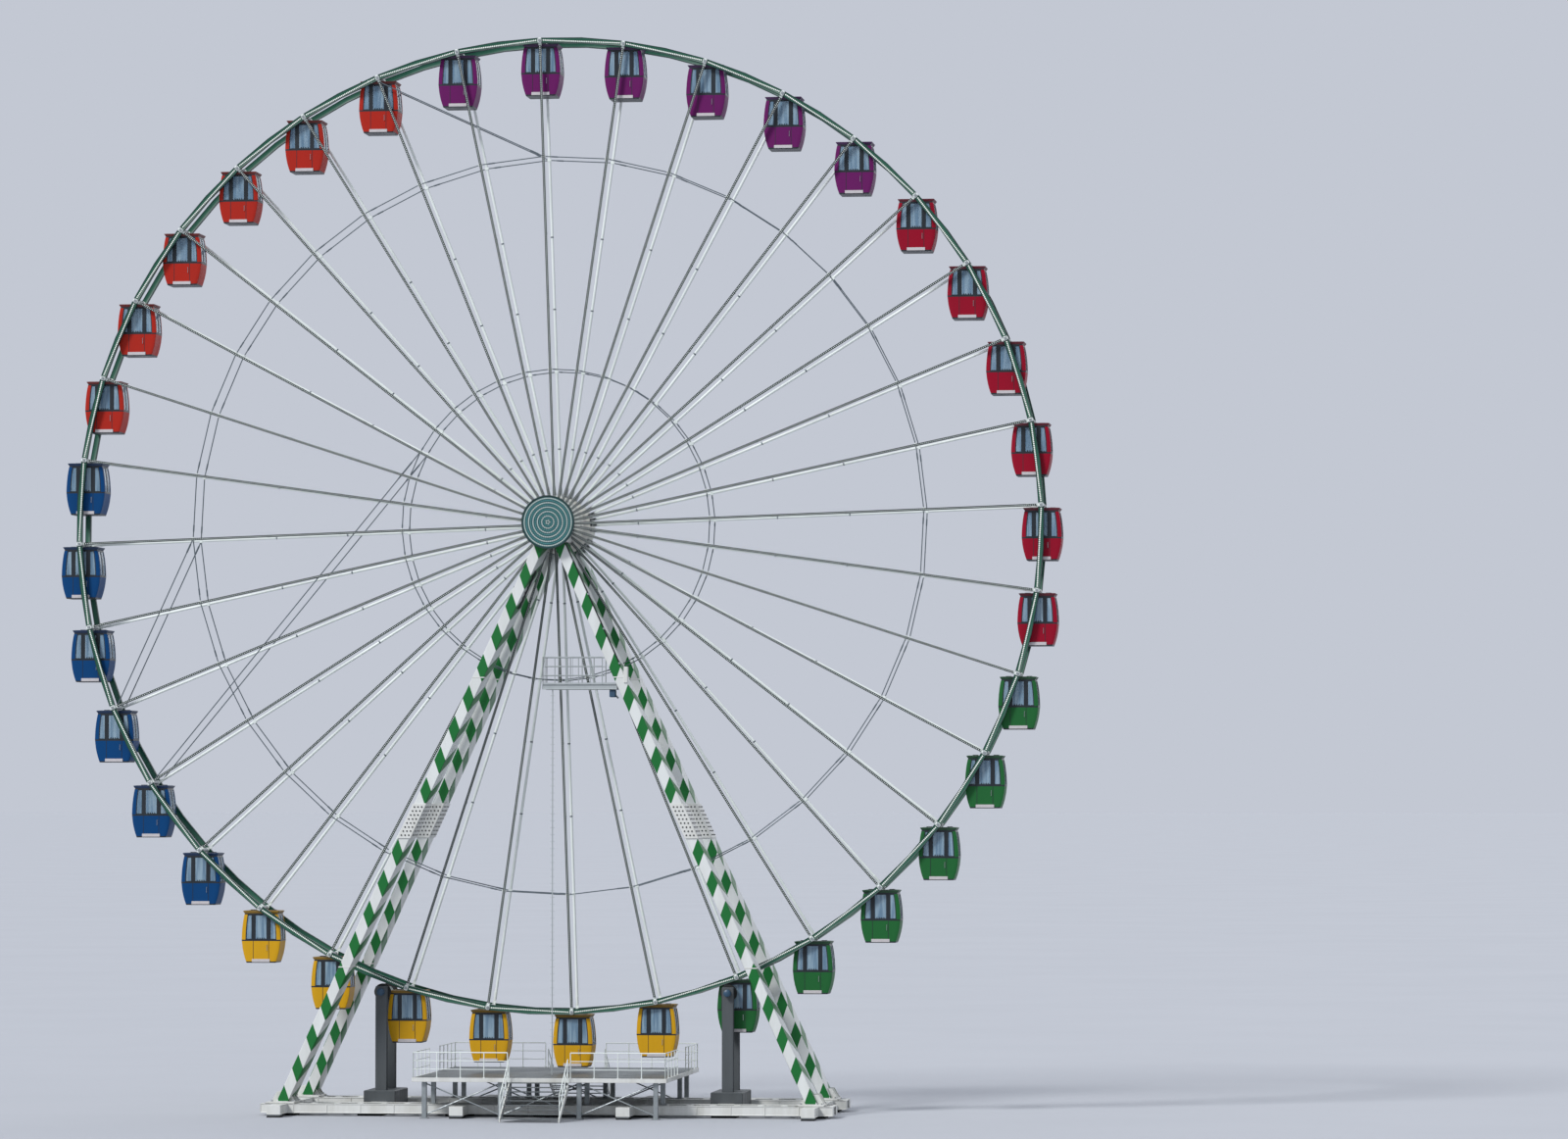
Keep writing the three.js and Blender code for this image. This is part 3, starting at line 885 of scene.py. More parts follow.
    @staticmethod
    def flipped(piece: Piece, axis: Axis) -> Piece:
        """Mirrors a piece in a plane through the origin, faces outwards again.

        Args:
            piece: The piece.
            axis: The axis that the plane faces.

        Returns:
            The same piece.
        """
        direction = Vector([float(place is axis) for place in Axis])
        piece.data.transform(Matrix.Scale(-1, 4, direction))
        piece.data.flip_normals()
        return piece

    @staticmethod
    def to_side(piece: Piece, side: Side) -> Piece:
        """Leaves a piece at the front or mirrors it to the back."""
        return piece if side is Side.FRONT else Bench.flipped(piece, Axis.Y)

    @staticmethod
    def around(piece: Piece, start: float = 0.0, count: int = BAYS) -> Piece:
        """Copies a piece round the hub, one per bay, at the wheel's rest turn.

        Args:
            piece: The piece, modelled at twelve o'clock.
            start: Extra turn of the first copy, in bays.
            count: Number of copies, evenly spaced.

        Returns:
            The same object with its new mesh.
        """
        step = 2 * math.pi / count
        return Bench.repeat(piece, [
            Bench.hub_turn(REST_TURN + start * BAY_ANGLE + index * step)
            for index in range(count)])

    @staticmethod
    def hub_turn(angle: float) -> Matrix:
        """A turn about the axle, clockwise from the front."""
        centre = Matrix.Translation((0, 0, HUB_HEIGHT))
        return centre @ Matrix.Rotation(angle, 4, "Y") @ centre.inverted()

    @staticmethod
    def place(piece: Piece, name: str, body: str, slot: str,
              replaces: Sequence[str] = ()) -> None:
        """Halves a finished piece, names it and sets it on its body.

        Args:
            piece: The finished piece, in metres of the real wheel.
            name: Its name.
            body: The body that it rides on.
            slot: The record's material slot; not used.
            replaces: The nodes that it stands for.
        """
        piece.data.transform(Matrix.Scale(HALF, 4))
        piece.name = name
        piece.data.name = name
        Bench.take(piece)
        bpy.ops.object.shade_smooth_by_angle(angle=CREASE)
        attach(piece, body)
        if replaces:
            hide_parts(*replaces)
        LOG.info("%s: %d faces on %s", name, len(piece.data.polygons), body)

    @staticmethod
    def place_at(side: Side, piece: Piece, name: str, body: str, slot: str, node: str) -> None:
        """Places a piece that was made as a front one at its side of the wheel.

        Args:
            side: The side, whose word starts its name and its node's name.
            piece: The finished piece.
            name: The rest of its name.
            body: The body that it rides on.
            slot: The record's material slot.
            node: The rest of the name of the node that it stands for, if any.
        """
        Bench.place(Bench.to_side(piece, side), f"{side.word}_{name}", body, slot,
                    [f"{side.word}_{node}"] if node else ())


def wheel_point(radius: float, y: float, bays: float = 0.0) -> Vector:
    """A point of the unturned wheel, so many bays clockwise from the top."""
    angle = bays * BAY_ANGLE
    return Vector((radius * math.sin(angle), y, HUB_HEIGHT + radius * math.cos(angle)))


def front_frame(x: float, y: float, z: float) -> Matrix:
    """A frame at a point whose Z axis looks to the front."""
    return Matrix.Translation((x, y, z)) @ TO_FRONT


def facing(axis: Axis, least: float = 0.9) -> FaceTest:
    """A test for faces that look along an axis, either way."""
    return lambda centre, normal: abs(normal[axis]) > least


def both_ways(steps: Steps) -> list[tuple[float, float]]:
    """Rings above a middle plane, with their mirror images below it."""
    return [(radius, -height) for radius, height in reversed(steps)] + list(steps)


@dataclass
class Rim:
    """One rim: rolled beams, straight lamp rows and node clamps."""

    side: Side
    offset: float = 0.79
    height: float = 0.24
    thickness: float = 0.2
    end_gap: float = 0.03
    lip: float = 0.026
    recess: float = 0.016
    lamp_rise: float = 0.015
    lamp_pitch: float = 0.08
    lamp_radius: float = 0.039
    lamp_margin: float = 0.12
    strip_half: float = 0.034
    clamp_half: float = 0.07
    plate_half: float = 0.09
    gusset_half: float = 0.075
    gusset_foot: float = 0.36

    @property
    def chord_height(self) -> float:
        """Height of a beam's middle line in the bay between two nodes."""
        return HUB_HEIGHT + PIVOT_RADIUS * math.cos(BAY_ANGLE / 2)

    @property
    def half_chord(self) -> float:
        """Half the distance between two nodes."""
        return PIVOT_RADIUS * math.sin(BAY_ANGLE / 2)

    @property
    def bow(self) -> float:
        """How far a rolled beam rises above the straight line between its nodes."""
        return PIVOT_RADIUS * (1 - math.cos(BAY_ANGLE / 2))

    def beam(self) -> Piece:
        """A beam between two nodes, rolled to the circle, with recessed webs and lips painted
        darker as shade and dirt.
        """
        middle, half = self.chord_height, self.height / 2
        beam = Bench.upright(
            (0, -self.offset), (self.half_chord - self.end_gap, self.thickness / 2),
            (middle - half, middle + half), RIM_GREEN, edge=0.008)
        with Editing(beam) as edit:
            edit.inset(facing(Axis.Y), self.lip, -self.recess)
            # The lips take the darker coat: painted shade and road dirt.
            edit.faces(lambda centre, normal: abs(centre.z - middle) > half - self.lip)
            edit.paint(RIM_LIP_SHADE_AND_DIRT)
            edit.cut((0, 0, 0), (1, 0, 0))
            edit.move(lambda spot: abs(spot.x) < 0.001, (0, 0, self.bow))
        return beam

    def lamps(self) -> Piece:
        """A row of lens domes on its straight strip, along one beam."""
        face = -self.offset - self.thickness / 2 + self.recess
        level = self.chord_height + self.lamp_rise
        reach = self.half_chord - self.lamp_margin
        strip = Bench.block(
            (-reach, face - 0.008, level - self.strip_half),
            (reach, face + 0.004, level + self.strip_half), RIM_STRIP)
        size = self.lamp_radius
        dome = Bench.turned([(size, 0.0), (size * 0.8, 0.014), (size * 0.35, 0.02)], 6, LENS)
        dome.data.transform(TO_FRONT)
        count = int(2 * (reach - 0.04) / self.lamp_pitch) + 1
        first = -(count - 1) * self.lamp_pitch / 2
        row = Bench.repeat(dome, [
            Matrix.Translation((first + index * self.lamp_pitch, face - 0.006, level))
            for index in range(count)])
        return Bench.join([strip, row])

    def node(self) -> Piece:
        """The white clamp over a node: sleeve, face plate, bolts and gusset."""
        face = self.offset + self.thickness / 2
        sleeve = Bench.block(
            (-self.clamp_half, -face - 0.012, PIVOT_TOP - 0.118),
            (self.clamp_half, -self.offset + 0.096, PIVOT_TOP + 0.114), TUBE_WHITE, edge=0.01)
        plate = Bench.block(
            (-self.plate_half, -face - 0.03, PIVOT_TOP - 0.1),
            (self.plate_half, -face - 0.006, PIVOT_TOP + 0.09), TUBE_WHITE, edge=0.01)
        boss = Bench.turned([(0.062, 0.0), (0.062, 0.03), (0.05, 0.04)], 12, ZINC)
        boss.data.transform(front_frame(0, -face - 0.026, PIVOT_TOP))
        bolts = Bench.repeat(Bench.bolt(0.016, 0.018, STAINLESS), [
            front_frame(x, -face - 0.028, PIVOT_TOP + z)
            for x in (-0.065, 0.065) for z in (-0.075, 0.065)])
        gusset = Bench.upright(
            (0, -self.offset), (self.gusset_half, 0.035),
            (PIVOT_TOP - self.gusset_foot, PIVOT_TOP - 0.11), TUBE_WHITE, edge=0.006)
        with Editing(gusset) as edit:
            edit.stretch(lambda spot: spot.z < PIVOT_TOP - 0.3, (0.55, 1, 1))
            edit.inset(facing(Axis.Y), 0.02, -0.008)
        return Bench.join([sleeve, plate, boss, bolts, gusset])

    def build(self) -> None:
        """Makes the rim's three pieces and sets them on the wheel."""
        for piece, part, slot, node in (
                (Bench.around(self.beam(), 0.5), "rim_beams", "rim_green", "rim"),
                (Bench.around(self.lamps(), 0.5), "rim_lamps", "rim_green", ""),
                (Bench.around(self.node()), "rim_nodes", "spoke_white", "")):
            Bench.place_at(self.side, piece, part, "wheel", slot, node)


@dataclass
class CrossTubes:
    """The tubes between the rims that the cabins hang from."""

    radius: float = 0.055
    reach: float = 0.69
    end_radius: float = 0.1
    end_length: float = 0.06
    collar_radius: float = 0.075
    collar_length: float = 0.03
    collar_reach: float = 0.5

    def build(self) -> None:
        """Makes all tubes as one piece, with white ends and zinc collars."""
        parts = [Bench.tube(
            (0, -self.reach, PIVOT_TOP), (0, self.reach, PIVOT_TOP), self.radius, TUBE_WHITE,
            sides=12)]
        for radius, length, reach, finish, rim in (
                (self.end_radius, self.end_length, self.reach, TUBE_WHITE, 0.01),
                (self.collar_radius, self.collar_length, self.collar_reach, ZINC, 0.006)):
            for low, high in ((-reach, length - reach), (reach - length, reach)):
                parts.append(Bench.tube(
                    (0, low, PIVOT_TOP), (0, high, PIVOT_TOP), radius, finish, sides=12, rim=rim))
        Bench.place(Bench.around(Bench.join(parts)), "cabin_cross_tubes", "wheel", "spoke_white")


@dataclass
class SpokeFace:
    """The spokes, ring rods and diagonal stays of one face of the wheel."""

    side: Side
    hub_radius: float = 1.25
    hub_offset: float = 0.95
    rim_offset: float = 0.79
    tube_radius: float = 0.056
    rod_radius: float = 0.025
    stay_radius: float = 0.026
    rings: tuple[float, float] = (0.32 * PIVOT_RADIUS, 0.76 * PIVOT_RADIUS)
    rings_inward: float = 0.03
    clips: tuple[float, ...] = (0.16, 0.45, 0.6)
    strip_width: float = 0.1
    short_stays: tuple[tuple[float, float], ...] = ((0, -2), (-9, -11))
    long_stay: tuple[float, float] = (-6, -12)

    def y(self, radius: float) -> float:
        """Y of the dished face at a radius, on the front."""
        share = (radius - self.hub_radius) / (PIVOT_RADIUS - self.hub_radius)
        return -(self.hub_offset + share * (self.rim_offset - self.hub_offset))

    def point(self, radius: float, bays: float = 0.0, out: float = 0.0) -> Vector:
        """A point of the face, or that far in front of it."""
        return wheel_point(radius, self.y(radius) - out, bays)

    def along(self, start: float, end: float, radius: float, finish: Finish,
              end_radius: float | None = None, rim: float = 0.01) -> Piece:
        """A round part along the spoke at twelve o'clock.

        Args:
            start: Where it starts, from the hub's middle.
            end: Where it ends.
            radius: Its radius at the start.
            finish: Its finish.
            end_radius: Its radius at the end, if that differs.
            rim: Width of the softened edge at both ends.

        Returns:
            The new piece.
        """
        return Bench.tube(
            self.point(start), self.point(end), radius, finish, sides=10, end_radius=end_radius,
            rim=rim)

    def spoke(self) -> Piece:
        """One spoke's tube with its end forks and tension sleeve."""
        tube = self.along(1.6, 20.8, self.tube_radius, TUBE_WHITE, rim=0.0)
        sleeve = self.along(1.55, 2.05, 0.062, TUBE_WHITE)
        fork = [
            Bench.bar(
                self.point(1.27) + Vector((x, 0, 0)), self.point(1.66) + Vector((x, 0, 0)), 0.022,
                0.1, ZINC, edge=0.005) for x in (-0.05, 0.05)]
        pin = Bench.tube(self.point(1.36) - Vector((0.075, 0, 0)),
                         self.point(1.36) + Vector((0.075, 0, 0)), 0.025, STAINLESS, rim=0.006)
        end = self.along(20.55, 20.95, 0.07, TUBE_WHITE, end_radius=0.05)
        return Bench.join([tube, sleeve, *fork, pin, end])

    def strip(self) -> Piece:
        """The lamp strip on a spoke's outer face."""
        out = self.tube_radius + 0.009
        return Bench.bar(self.point(0.8, out=out), self.point(21.0, out=out), self.strip_width,
                         0.022, SPOKE_STRIP)

    def clip(self) -> Piece:
        """The dark cable clips on one spoke."""
        return Bench.join([
            self.along(share * PIVOT_RADIUS - 0.03, share * PIVOT_RADIUS + 0.03, 0.066, ROD_ZINC)
            for share in self.clips])

    def rods(self) -> Piece:
        """The ring rods of one bay with their brackets and tension nuts."""
        parts = []
        for radius in self.rings:
            start, end = (self.point(radius, bays, -self.rings_inward) for bays in (0.0, 1.0))
            near = start.lerp(end, 0.12)
            parts += [
                Bench.tube(start, end, self.rod_radius, ROD_ZINC, sides=6),
                Bench.tube(near, near.lerp(end, 0.12), 0.036, ROD_ZINC, sides=6, rim=0.01),
                Bench.block(
                    (-0.09, self.y(radius) - 0.045, start.z - 0.06),
                    (0.09, self.y(radius) + 0.065, start.z + 0.06), TUBE_WHITE, edge=0.015)]
        return Bench.join(parts)

    def stays(self) -> Piece:
        """The three thin diagonal stays, at the wheel's rest turn."""
        inner, outer = self.rings
        ends = [(outer, *pair) for pair in self.short_stays] + [(inner, *self.long_stay)]
        rods = []
        for radius, start, end in ends:
            low, high = self.point(radius, start, 0.03), self.point(21.0, end, 0.02)
            rods.append(Bench.tube(low, high, self.stay_radius, ROD_ZINC, sides=6))
            rods.append(Bench.tube(
                low.lerp(high, 0.03), low.lerp(high, 0.08), 0.04, ROD_ZINC, sides=6, rim=0.01))
        joined = Bench.join(rods)
        joined.data.transform(Bench.hub_turn(REST_TURN))
        return joined

    def build(self) -> None:
        """Makes the face's pieces and sets them on the wheel."""
        for piece, part, node in (
                (Bench.around(self.spoke()), "spoke_tubes", "spokes"),
                (Bench.around(self.strip()), "spoke_lamps", ""),
                (Bench.around(self.clip()), "spoke_clips", ""),
                (Bench.around(self.rods()), "ring_rods", ""),
                (self.stays(), "diagonal_stays", "")):
            Bench.place_at(self.side, piece, part, "wheel", "spoke_white", node)


@dataclass
class Hub:
    """The hub: drum, two flanges and ribs, with a strap and a bolt between two spokes."""

    flange_radius: float = 1.25
    flange_offset: float = 0.95
    flange_thickness: float = 0.12
    drum_radius: float = 0.55
    fillet: float = 0.08
    panel_margin: float = 0.28
    rib_count: int = 12
    rib_dip: float = 0.42

    def build(self) -> None:
        """Makes the hub as one piece that stands for its node."""
        half = self.flange_offset + self.flange_thickness / 2
        inner = self.flange_offset - self.flange_thickness / 2
        edge, drum = self.flange_radius, self.drum_radius
        turned = Bench.turned(both_ways([
            (drum, inner - self.fillet), (drum + self.fillet, inner), (edge - 0.02, inner),
            (edge, inner + 0.01), (edge, half - 0.02), (edge - 0.03, half)]), BAYS, HUB_GREY)
        with Editing(turned) as edit:
            edit.inset(lambda centre, normal: abs(normal.z) > 0.9 and abs(centre.z) > half - 0.01,
                       self.panel_margin, 0.0)
            bpy.ops.mesh.inset(thickness=0.02, depth=-0.02, use_individual=True)
        turned.data.transform(front_frame(0, 0, HUB_HEIGHT))
        rib = Bench.upright(
            (0, 0), (0.02, inner), (HUB_HEIGHT + drum - 0.02, HUB_HEIGHT + edge - 0.12), HUB_GREY,
            edge=0.005)
        with Editing(rib) as edit:
            edit.cut((0, 0, 0), (0, 1, 0))
            edit.move(
                lambda spot: abs(spot.y) < 0.1 and spot.z > HUB_HEIGHT + 0.8, (0, 0, -self.rib_dip))
        bolt = Bench.bolt(0.026, 0.03, STAINLESS)
        bolt.data.transform(front_frame(0, -half - 0.018, HUB_HEIGHT + edge - 0.1))
        strap = Bench.block(
            (-0.012, -half - 0.02, HUB_HEIGHT + 0.66), (0.012, -half + 0.005, HUB_HEIGHT + 1.24),
            TUBE_WHITE)
        bolts = Bench.join([Bench.around(bolt, 0.5), Bench.around(strap, 0.5)])
        back_bolts = Bench.flipped(Bench.copy(bolts), Axis.Y)
        hub = Bench.join([turned, Bench.around(rib, 0.5, self.rib_count), bolts, back_bolts])
        Bench.place(hub, "hub_casting", "wheel", "spoke_white", ["hub"])


@dataclass
class LightDisc:
    """The round lamp-studded disc in front of each bearing head."""

    side: Side
    face: float = 2.9
    radius: float = 1.16
    sides: int = 72
    edge_width: float = 0.06
    first_ring: float = 0.075
    ring_pitch: float = 0.0955
    ring_count: int = 11
    lamp_pitch: float = 0.092
    lamp_radius: float = 0.033
    smoked_share: float = 0.85
    lamp_seat: float = 0.106

    def build(self) -> None:
        """Makes the disc and its lamps as one piece each."""
        edge = self.radius
        disc = Bench.turned([
            (edge - 0.05, 0.001), (edge, 0.02), (edge, 0.125), (edge - 0.012, 0.138),
            (edge - 0.05, 0.138), (edge - 0.065, 0.11), (0.05, 0.118)], self.sides, DISC_TEAL)
        with Editing(disc) as edit:
            edit.faces(lambda centre, normal: centre.xy.length > edge - self.edge_width)
            edit.paint(DISC_EDGE)
            edit.faces(lambda centre, normal: normal.z < -0.7)
            edit.paint(PLATE_WHITE)
        lamps = Bench.join([self.ring(index) for index in range(self.ring_count)])
        for piece, part, node in ((disc, "lamp_disc", "hub_disc"), (lamps, "disc_lamps", "")):
            piece.data.transform(front_frame(0, -self.face, HUB_HEIGHT))
            Bench.place_at(self.side, piece, part, "support", "hub_teal", node)

    def ring(self, index: int) -> Piece:
        """One ring of lens domes, bright and smoked in turn."""
        radius = self.first_ring + index * self.ring_pitch
        count = max(round(2 * math.pi * radius / self.lamp_pitch), 5)
        bright = index % 2 == 0
        size = self.lamp_radius * (1.0 if bright else self.smoked_share)
        dome = Bench.turned(
            [(size, 0.0), (size * 0.85, 0.014), (size * 0.4, 0.024)], 6,
            LENS if bright else LENS_DIM)
        return Bench.repeat(dome, [
            Matrix.Rotation(2 * math.pi * place / count, 4, "Z")
            @ Matrix.Translation((radius, 0, self.lamp_seat))
            for place in range(count)])


@dataclass
class BearingHead:
    """The head that joins two leg tops and holds the axle's bearing."""

    side: Side
    inner_face: float = 1.08
    depth: float = 1.45
    top: float = 0.5
    bottom: float = 0.75
    top_half: float = 0.36
    bottom_half: float = 0.78
    housing_radius: float = 0.4
    cap_radius: float = 0.3
    bolt_circle: float = 0.35
    bolt_count: int = 10
    ribs: tuple[float, ...] = (-0.3, 0.0, 0.3)

    def build(self) -> None:
        """Makes the head as one piece."""
        outer = self.inner_face + self.depth
        low, high = HUB_HEIGHT - self.bottom, HUB_HEIGHT + self.top
        head = Bench.block(
            (-self.bottom_half, -outer, low), (self.bottom_half, -self.inner_face, high),
            PLATE_WHITE)
        with Editing(head) as edit:
            edit.stretch(lambda spot: spot.z > HUB_HEIGHT, (self.top_half / self.bottom_half, 1, 1))
            edit.soften(0.03, 2)
            edit.inset(facing(Axis.X, 0.8), 0.12, -0.05)
        rounds = [
            Bench.tube((0, -outer - out, HUB_HEIGHT), (0, -outer - out + 0.07, HUB_HEIGHT),
                       radius, BEARING_STEEL, sides=32, rim=0.02)
            for radius, out in ((self.housing_radius, 0.05), (self.cap_radius, 0.1))]
        bolts = Bench.repeat(Bench.bolt(0.028, 0.03, STAINLESS), [
            Matrix.Translation((0, -outer - 0.048, HUB_HEIGHT))
            @ Matrix.Rotation(2 * math.pi * index / self.bolt_count, 4, "Y")
            @ front_frame(0, 0, self.bolt_circle)
            for index in range(self.bolt_count)])
        ribs = [
            Bench.upright(
                (x, -outer - 0.01), (0.02, 0.02), (low + 0.06, HUB_HEIGHT - 0.36), PLATE_WHITE,
                edge=0.006) for x in self.ribs]
        Bench.place_at(self.side, Bench.join([head, *rounds, bolts, *ribs]), "head_casting",
                       "support", "leg_white", "bearing_head")


@dataclass
class Leg:
    """One leaning box leg with its bands, splice and foot."""

    hand: Hand
    side: Side
    slope_x: float = 0.46
    slope_y: float = 0.035
    width: float = 0.5
    depth: float = 1.45
    offset: float = 1.8
    base_top: float = 0.52
    foot_thickness: float = 0.08
    foot_half: tuple[float, float] = (0.55, 0.825)
    head_bottom: float = 0.75
    splice: tuple[float, float] = (11.95, 13.45)
    seams: tuple[float, float] = (6.4, 18.9)
    bolt_rows: int = 8
    front_bolts: tuple[float, ...] = (-0.16, 0.0, 0.16)
    side_bolts: tuple[float, ...] = (-0.55, -0.2, 0.2, 0.55)

    def middle(self, level: float) -> Vector:
        """The leg's middle line at a height, as a front right leg."""
        drop = HUB_HEIGHT - level
        return Vector((self.slope_x * drop, -(self.offset + self.slope_y * drop), level))

    def leaning(self, low: float, high: float, proud: float, finish: Finish,
                edge: float) -> Piece:
        """A stretch of leaning box between two heights.

        Args:
            low: Its lower level end.
            high: Its upper level end.
            proud: How far it stands out from the leg's faces.
            finish: Its finish.
            edge: Width of the bevel.

        Returns:
            The new piece.
        """
        start, end = self.middle(low), self.middle(high)
        half = Vector((self.width / 2 + proud, self.depth / 2 + proud, 0))
        box = Bench.block(start - half, start + half + Vector((0, 0, high - low)), finish)
        with Editing(box) as edit:
            edit.faces(lambda centre, normal: normal.z > 0.9)
            shift = end - start
            bpy.ops.transform.translate(value=(shift.x, shift.y, 0))
            edit.soften(edge)
        return box

    def bolts(self) -> Piece:
        """The black bolts of the splice on all four faces."""
        low, high = self.splice
        margin, seat = 0.14, 0.048
        spots = []
        for row in range(self.bolt_rows):
            share = row / (self.bolt_rows - 1)
            middle = self.middle(low + margin + (high - low - 2 * margin) * share)
            spots += [
                Matrix.Translation(middle + Vector((x, face * (self.depth / 2 + seat), 0)))
                @ Matrix.Rotation(-face * math.pi / 2, 4, "X")
                for x in self.front_bolts for face in (-1, 1)]
            spots += [
                Matrix.Translation(middle + Vector((face * (self.width / 2 + seat), y, 0)))
                @ Matrix.Rotation(face * math.pi / 2, 4, "Y")
                for y in self.side_bolts for face in (-1, 1)]
        return Bench.repeat(Bench.bolt(0.028, 0.03, BOLT_BLACK), spots)

    def foot(self) -> list[Piece]:
        """The foot plate with its ribs and anchor bolts."""
        low = self.base_top + SEAT_GAP
        top = low + self.foot_thickness
        middle = self.middle(top)
        parts = [Bench.upright(middle.xy, self.foot_half, (low, top), PLATE_WHITE, edge=0.012)]
        rib_half = 0.26
        for y in (-0.5, 0.0, 0.5):
            for face in (-1, 1):
                rib = Bench.upright((middle.x, middle.y + y), (rib_half, 0.02),
                                    (top - 0.01, low + 0.5), PLATE_WHITE, edge=0.004)
                with Editing(rib) as edit:
                    edit.move(lambda spot, face=face: spot.z > low + 0.3
                              and (spot.x - middle.x) * face > 0, (-face * 0.24, 0, 0))
                rib.data.transform(Matrix.Translation((face * rib_half, 0, 0)))
                parts.append(rib)
        spots = [Matrix.Translation((middle.x + x, middle.y + y, top))
                 for x in (-0.45, 0.45) for y in (-0.7, -0.25, 0.25, 0.7)]
        return [*parts, Bench.repeat(Bench.bolt(0.045, 0.06, STAINLESS), spots)]

    def build(self) -> None:
        """Makes the leg and its fittings, mirrored to its corner."""
        shaft_low = self.base_top + SEAT_GAP + self.foot_thickness - 0.01
        shaft_high = HUB_HEIGHT - self.head_bottom - SEAT_GAP
        shaft = self.leaning(shaft_low, shaft_high, 0.0, LEG_PAINT, 0.018)
        sleeve = self.leaning(*self.splice, 0.046, PLATE_WHITE, 0.012)
        seams = [self.leaning(level - 0.025, level + 0.025, 0.012, PLATE_WHITE, 0.01)
                 for level in self.seams]
        fittings = Bench.join([sleeve, *seams, self.bolts(), *self.foot()])
        for piece, part, node in ((shaft, "leg_box", "leg"), (fittings, "leg_fittings", "")):
            if self.hand is Hand.LEFT:
                Bench.flipped(piece, Axis.X)
            Bench.place_at(self.side, piece, f"{self.hand.word}_{part}", "support", "leg_white",
                           node and f"{self.hand.word}_{node}")


@dataclass
class LegServices:
    """The cable ladder on the front left leg and the conduit on the front right one."""

    leg: Leg = field(default_factory=lambda: Leg(Hand.RIGHT, Side.FRONT))
    ladder_drops: tuple[float, float] = (2.1, 3.7)
    ladder_rails: tuple[float, float] = (-0.3, -0.05)
    rung_count: int = 8
    conduit_drops: tuple[float, ...] = (0.8, 2.5, 4.5, 6.2)
    clamp_drops: tuple[float, ...] = (1.6, 3.1, 4.6, 6.1)
    box_drop: float = 6.6

    def spot(self, drop: float) -> Vector:
        """The leg's middle that far below the hub."""
        return self.leg.middle(HUB_HEIGHT - drop)

    def build(self) -> None:
        """Makes both runs as one piece."""
        half = self.leg.width / 2
        start, end = (self.spot(drop) for drop in self.ladder_drops)
        flip = Vector((-1, 1, 1))
        rung = Vector((0.03, 0.15, 0.03))
        parts = []
        for y in self.ladder_rails:
            out = Vector((-(half + 0.05), y, 0))
            parts.append(Bench.bent([(start + out) * flip, (end + out) * flip], 0.022, CONDUIT))
        for step in range(self.rung_count):
            spot = start.lerp(end, step / (self.rung_count - 1))
            spot = (spot + Vector((-(half + 0.03), -0.175, 0))) * flip
            parts.append(Bench.block(spot - rung, spot + rung, CONDUIT))
        out = Vector((half + 0.035, -self.leg.depth / 2 + 0.05, 0))
        parts.append(Bench.bent(
            [self.spot(drop) + out for drop in self.conduit_drops], 0.032, CONDUIT))
        for drop in self.clamp_drops:
            spot = self.spot(drop) + out
            parts.append(Bench.block(
                spot - Vector((0.05, 0.05, 0.04)), spot + Vector((0.04, 0.05, 0.04)), ZINC,
                edge=0.01))
        spot = self.spot(self.box_drop) + out
        parts.append(Bench.block(
            spot - Vector((0.03, 0.12, 0.35)), spot + Vector((0.14, 0.14, 0.35)), PLATE_WHITE,
            edge=0.02))
        Bench.place(Bench.join(parts), "leg_cable_runs", "support", "drive_grey")


class Railing:
    """Round tube handrails with posts and a knee rail."""

    RADIUS = 0.024

    @staticmethod
    def run(points: Sequence[Point], height: float, spacing: float, finish: Finish,
            bars: int = 2) -> list[Piece]:
        """A railing along a level or sloping line.

        Args:
            points: Its line on the deck.
            height: Height of the top rail's upper edge.
            spacing: Most distance between posts.
            finish: Its finish.
            bars: Number of rails, the top one included.

        Returns:
            The pieces of the railing.
        """
        line = [Vector(point) for point in points]
        radius = Railing.RADIUS
        parts = []
        for index in range(bars):
            rise = Vector((0, 0, (height - radius) * (bars - index) / bars))
            size = radius if index == 0 else radius * 0.7
            parts.append(Bench.bent([spot + rise for spot in line], size, finish, sides=8))
        for start, end in zip(line, line[1:]):
            count = max(math.ceil((end - start).length / spacing), 1)
            for step in range(count + 1):
                foot = start.lerp(end, step / count)
                parts.append(Bench.tube(
                    foot, foot + Vector((0, 0, height - radius)), radius * 0.9, finish, sides=8))
                parts.append(Bench.tube(
                    foot, foot + Vector((0, 0, 0.02)), radius * 2, finish, sides=8, rim=0.005))
        return parts


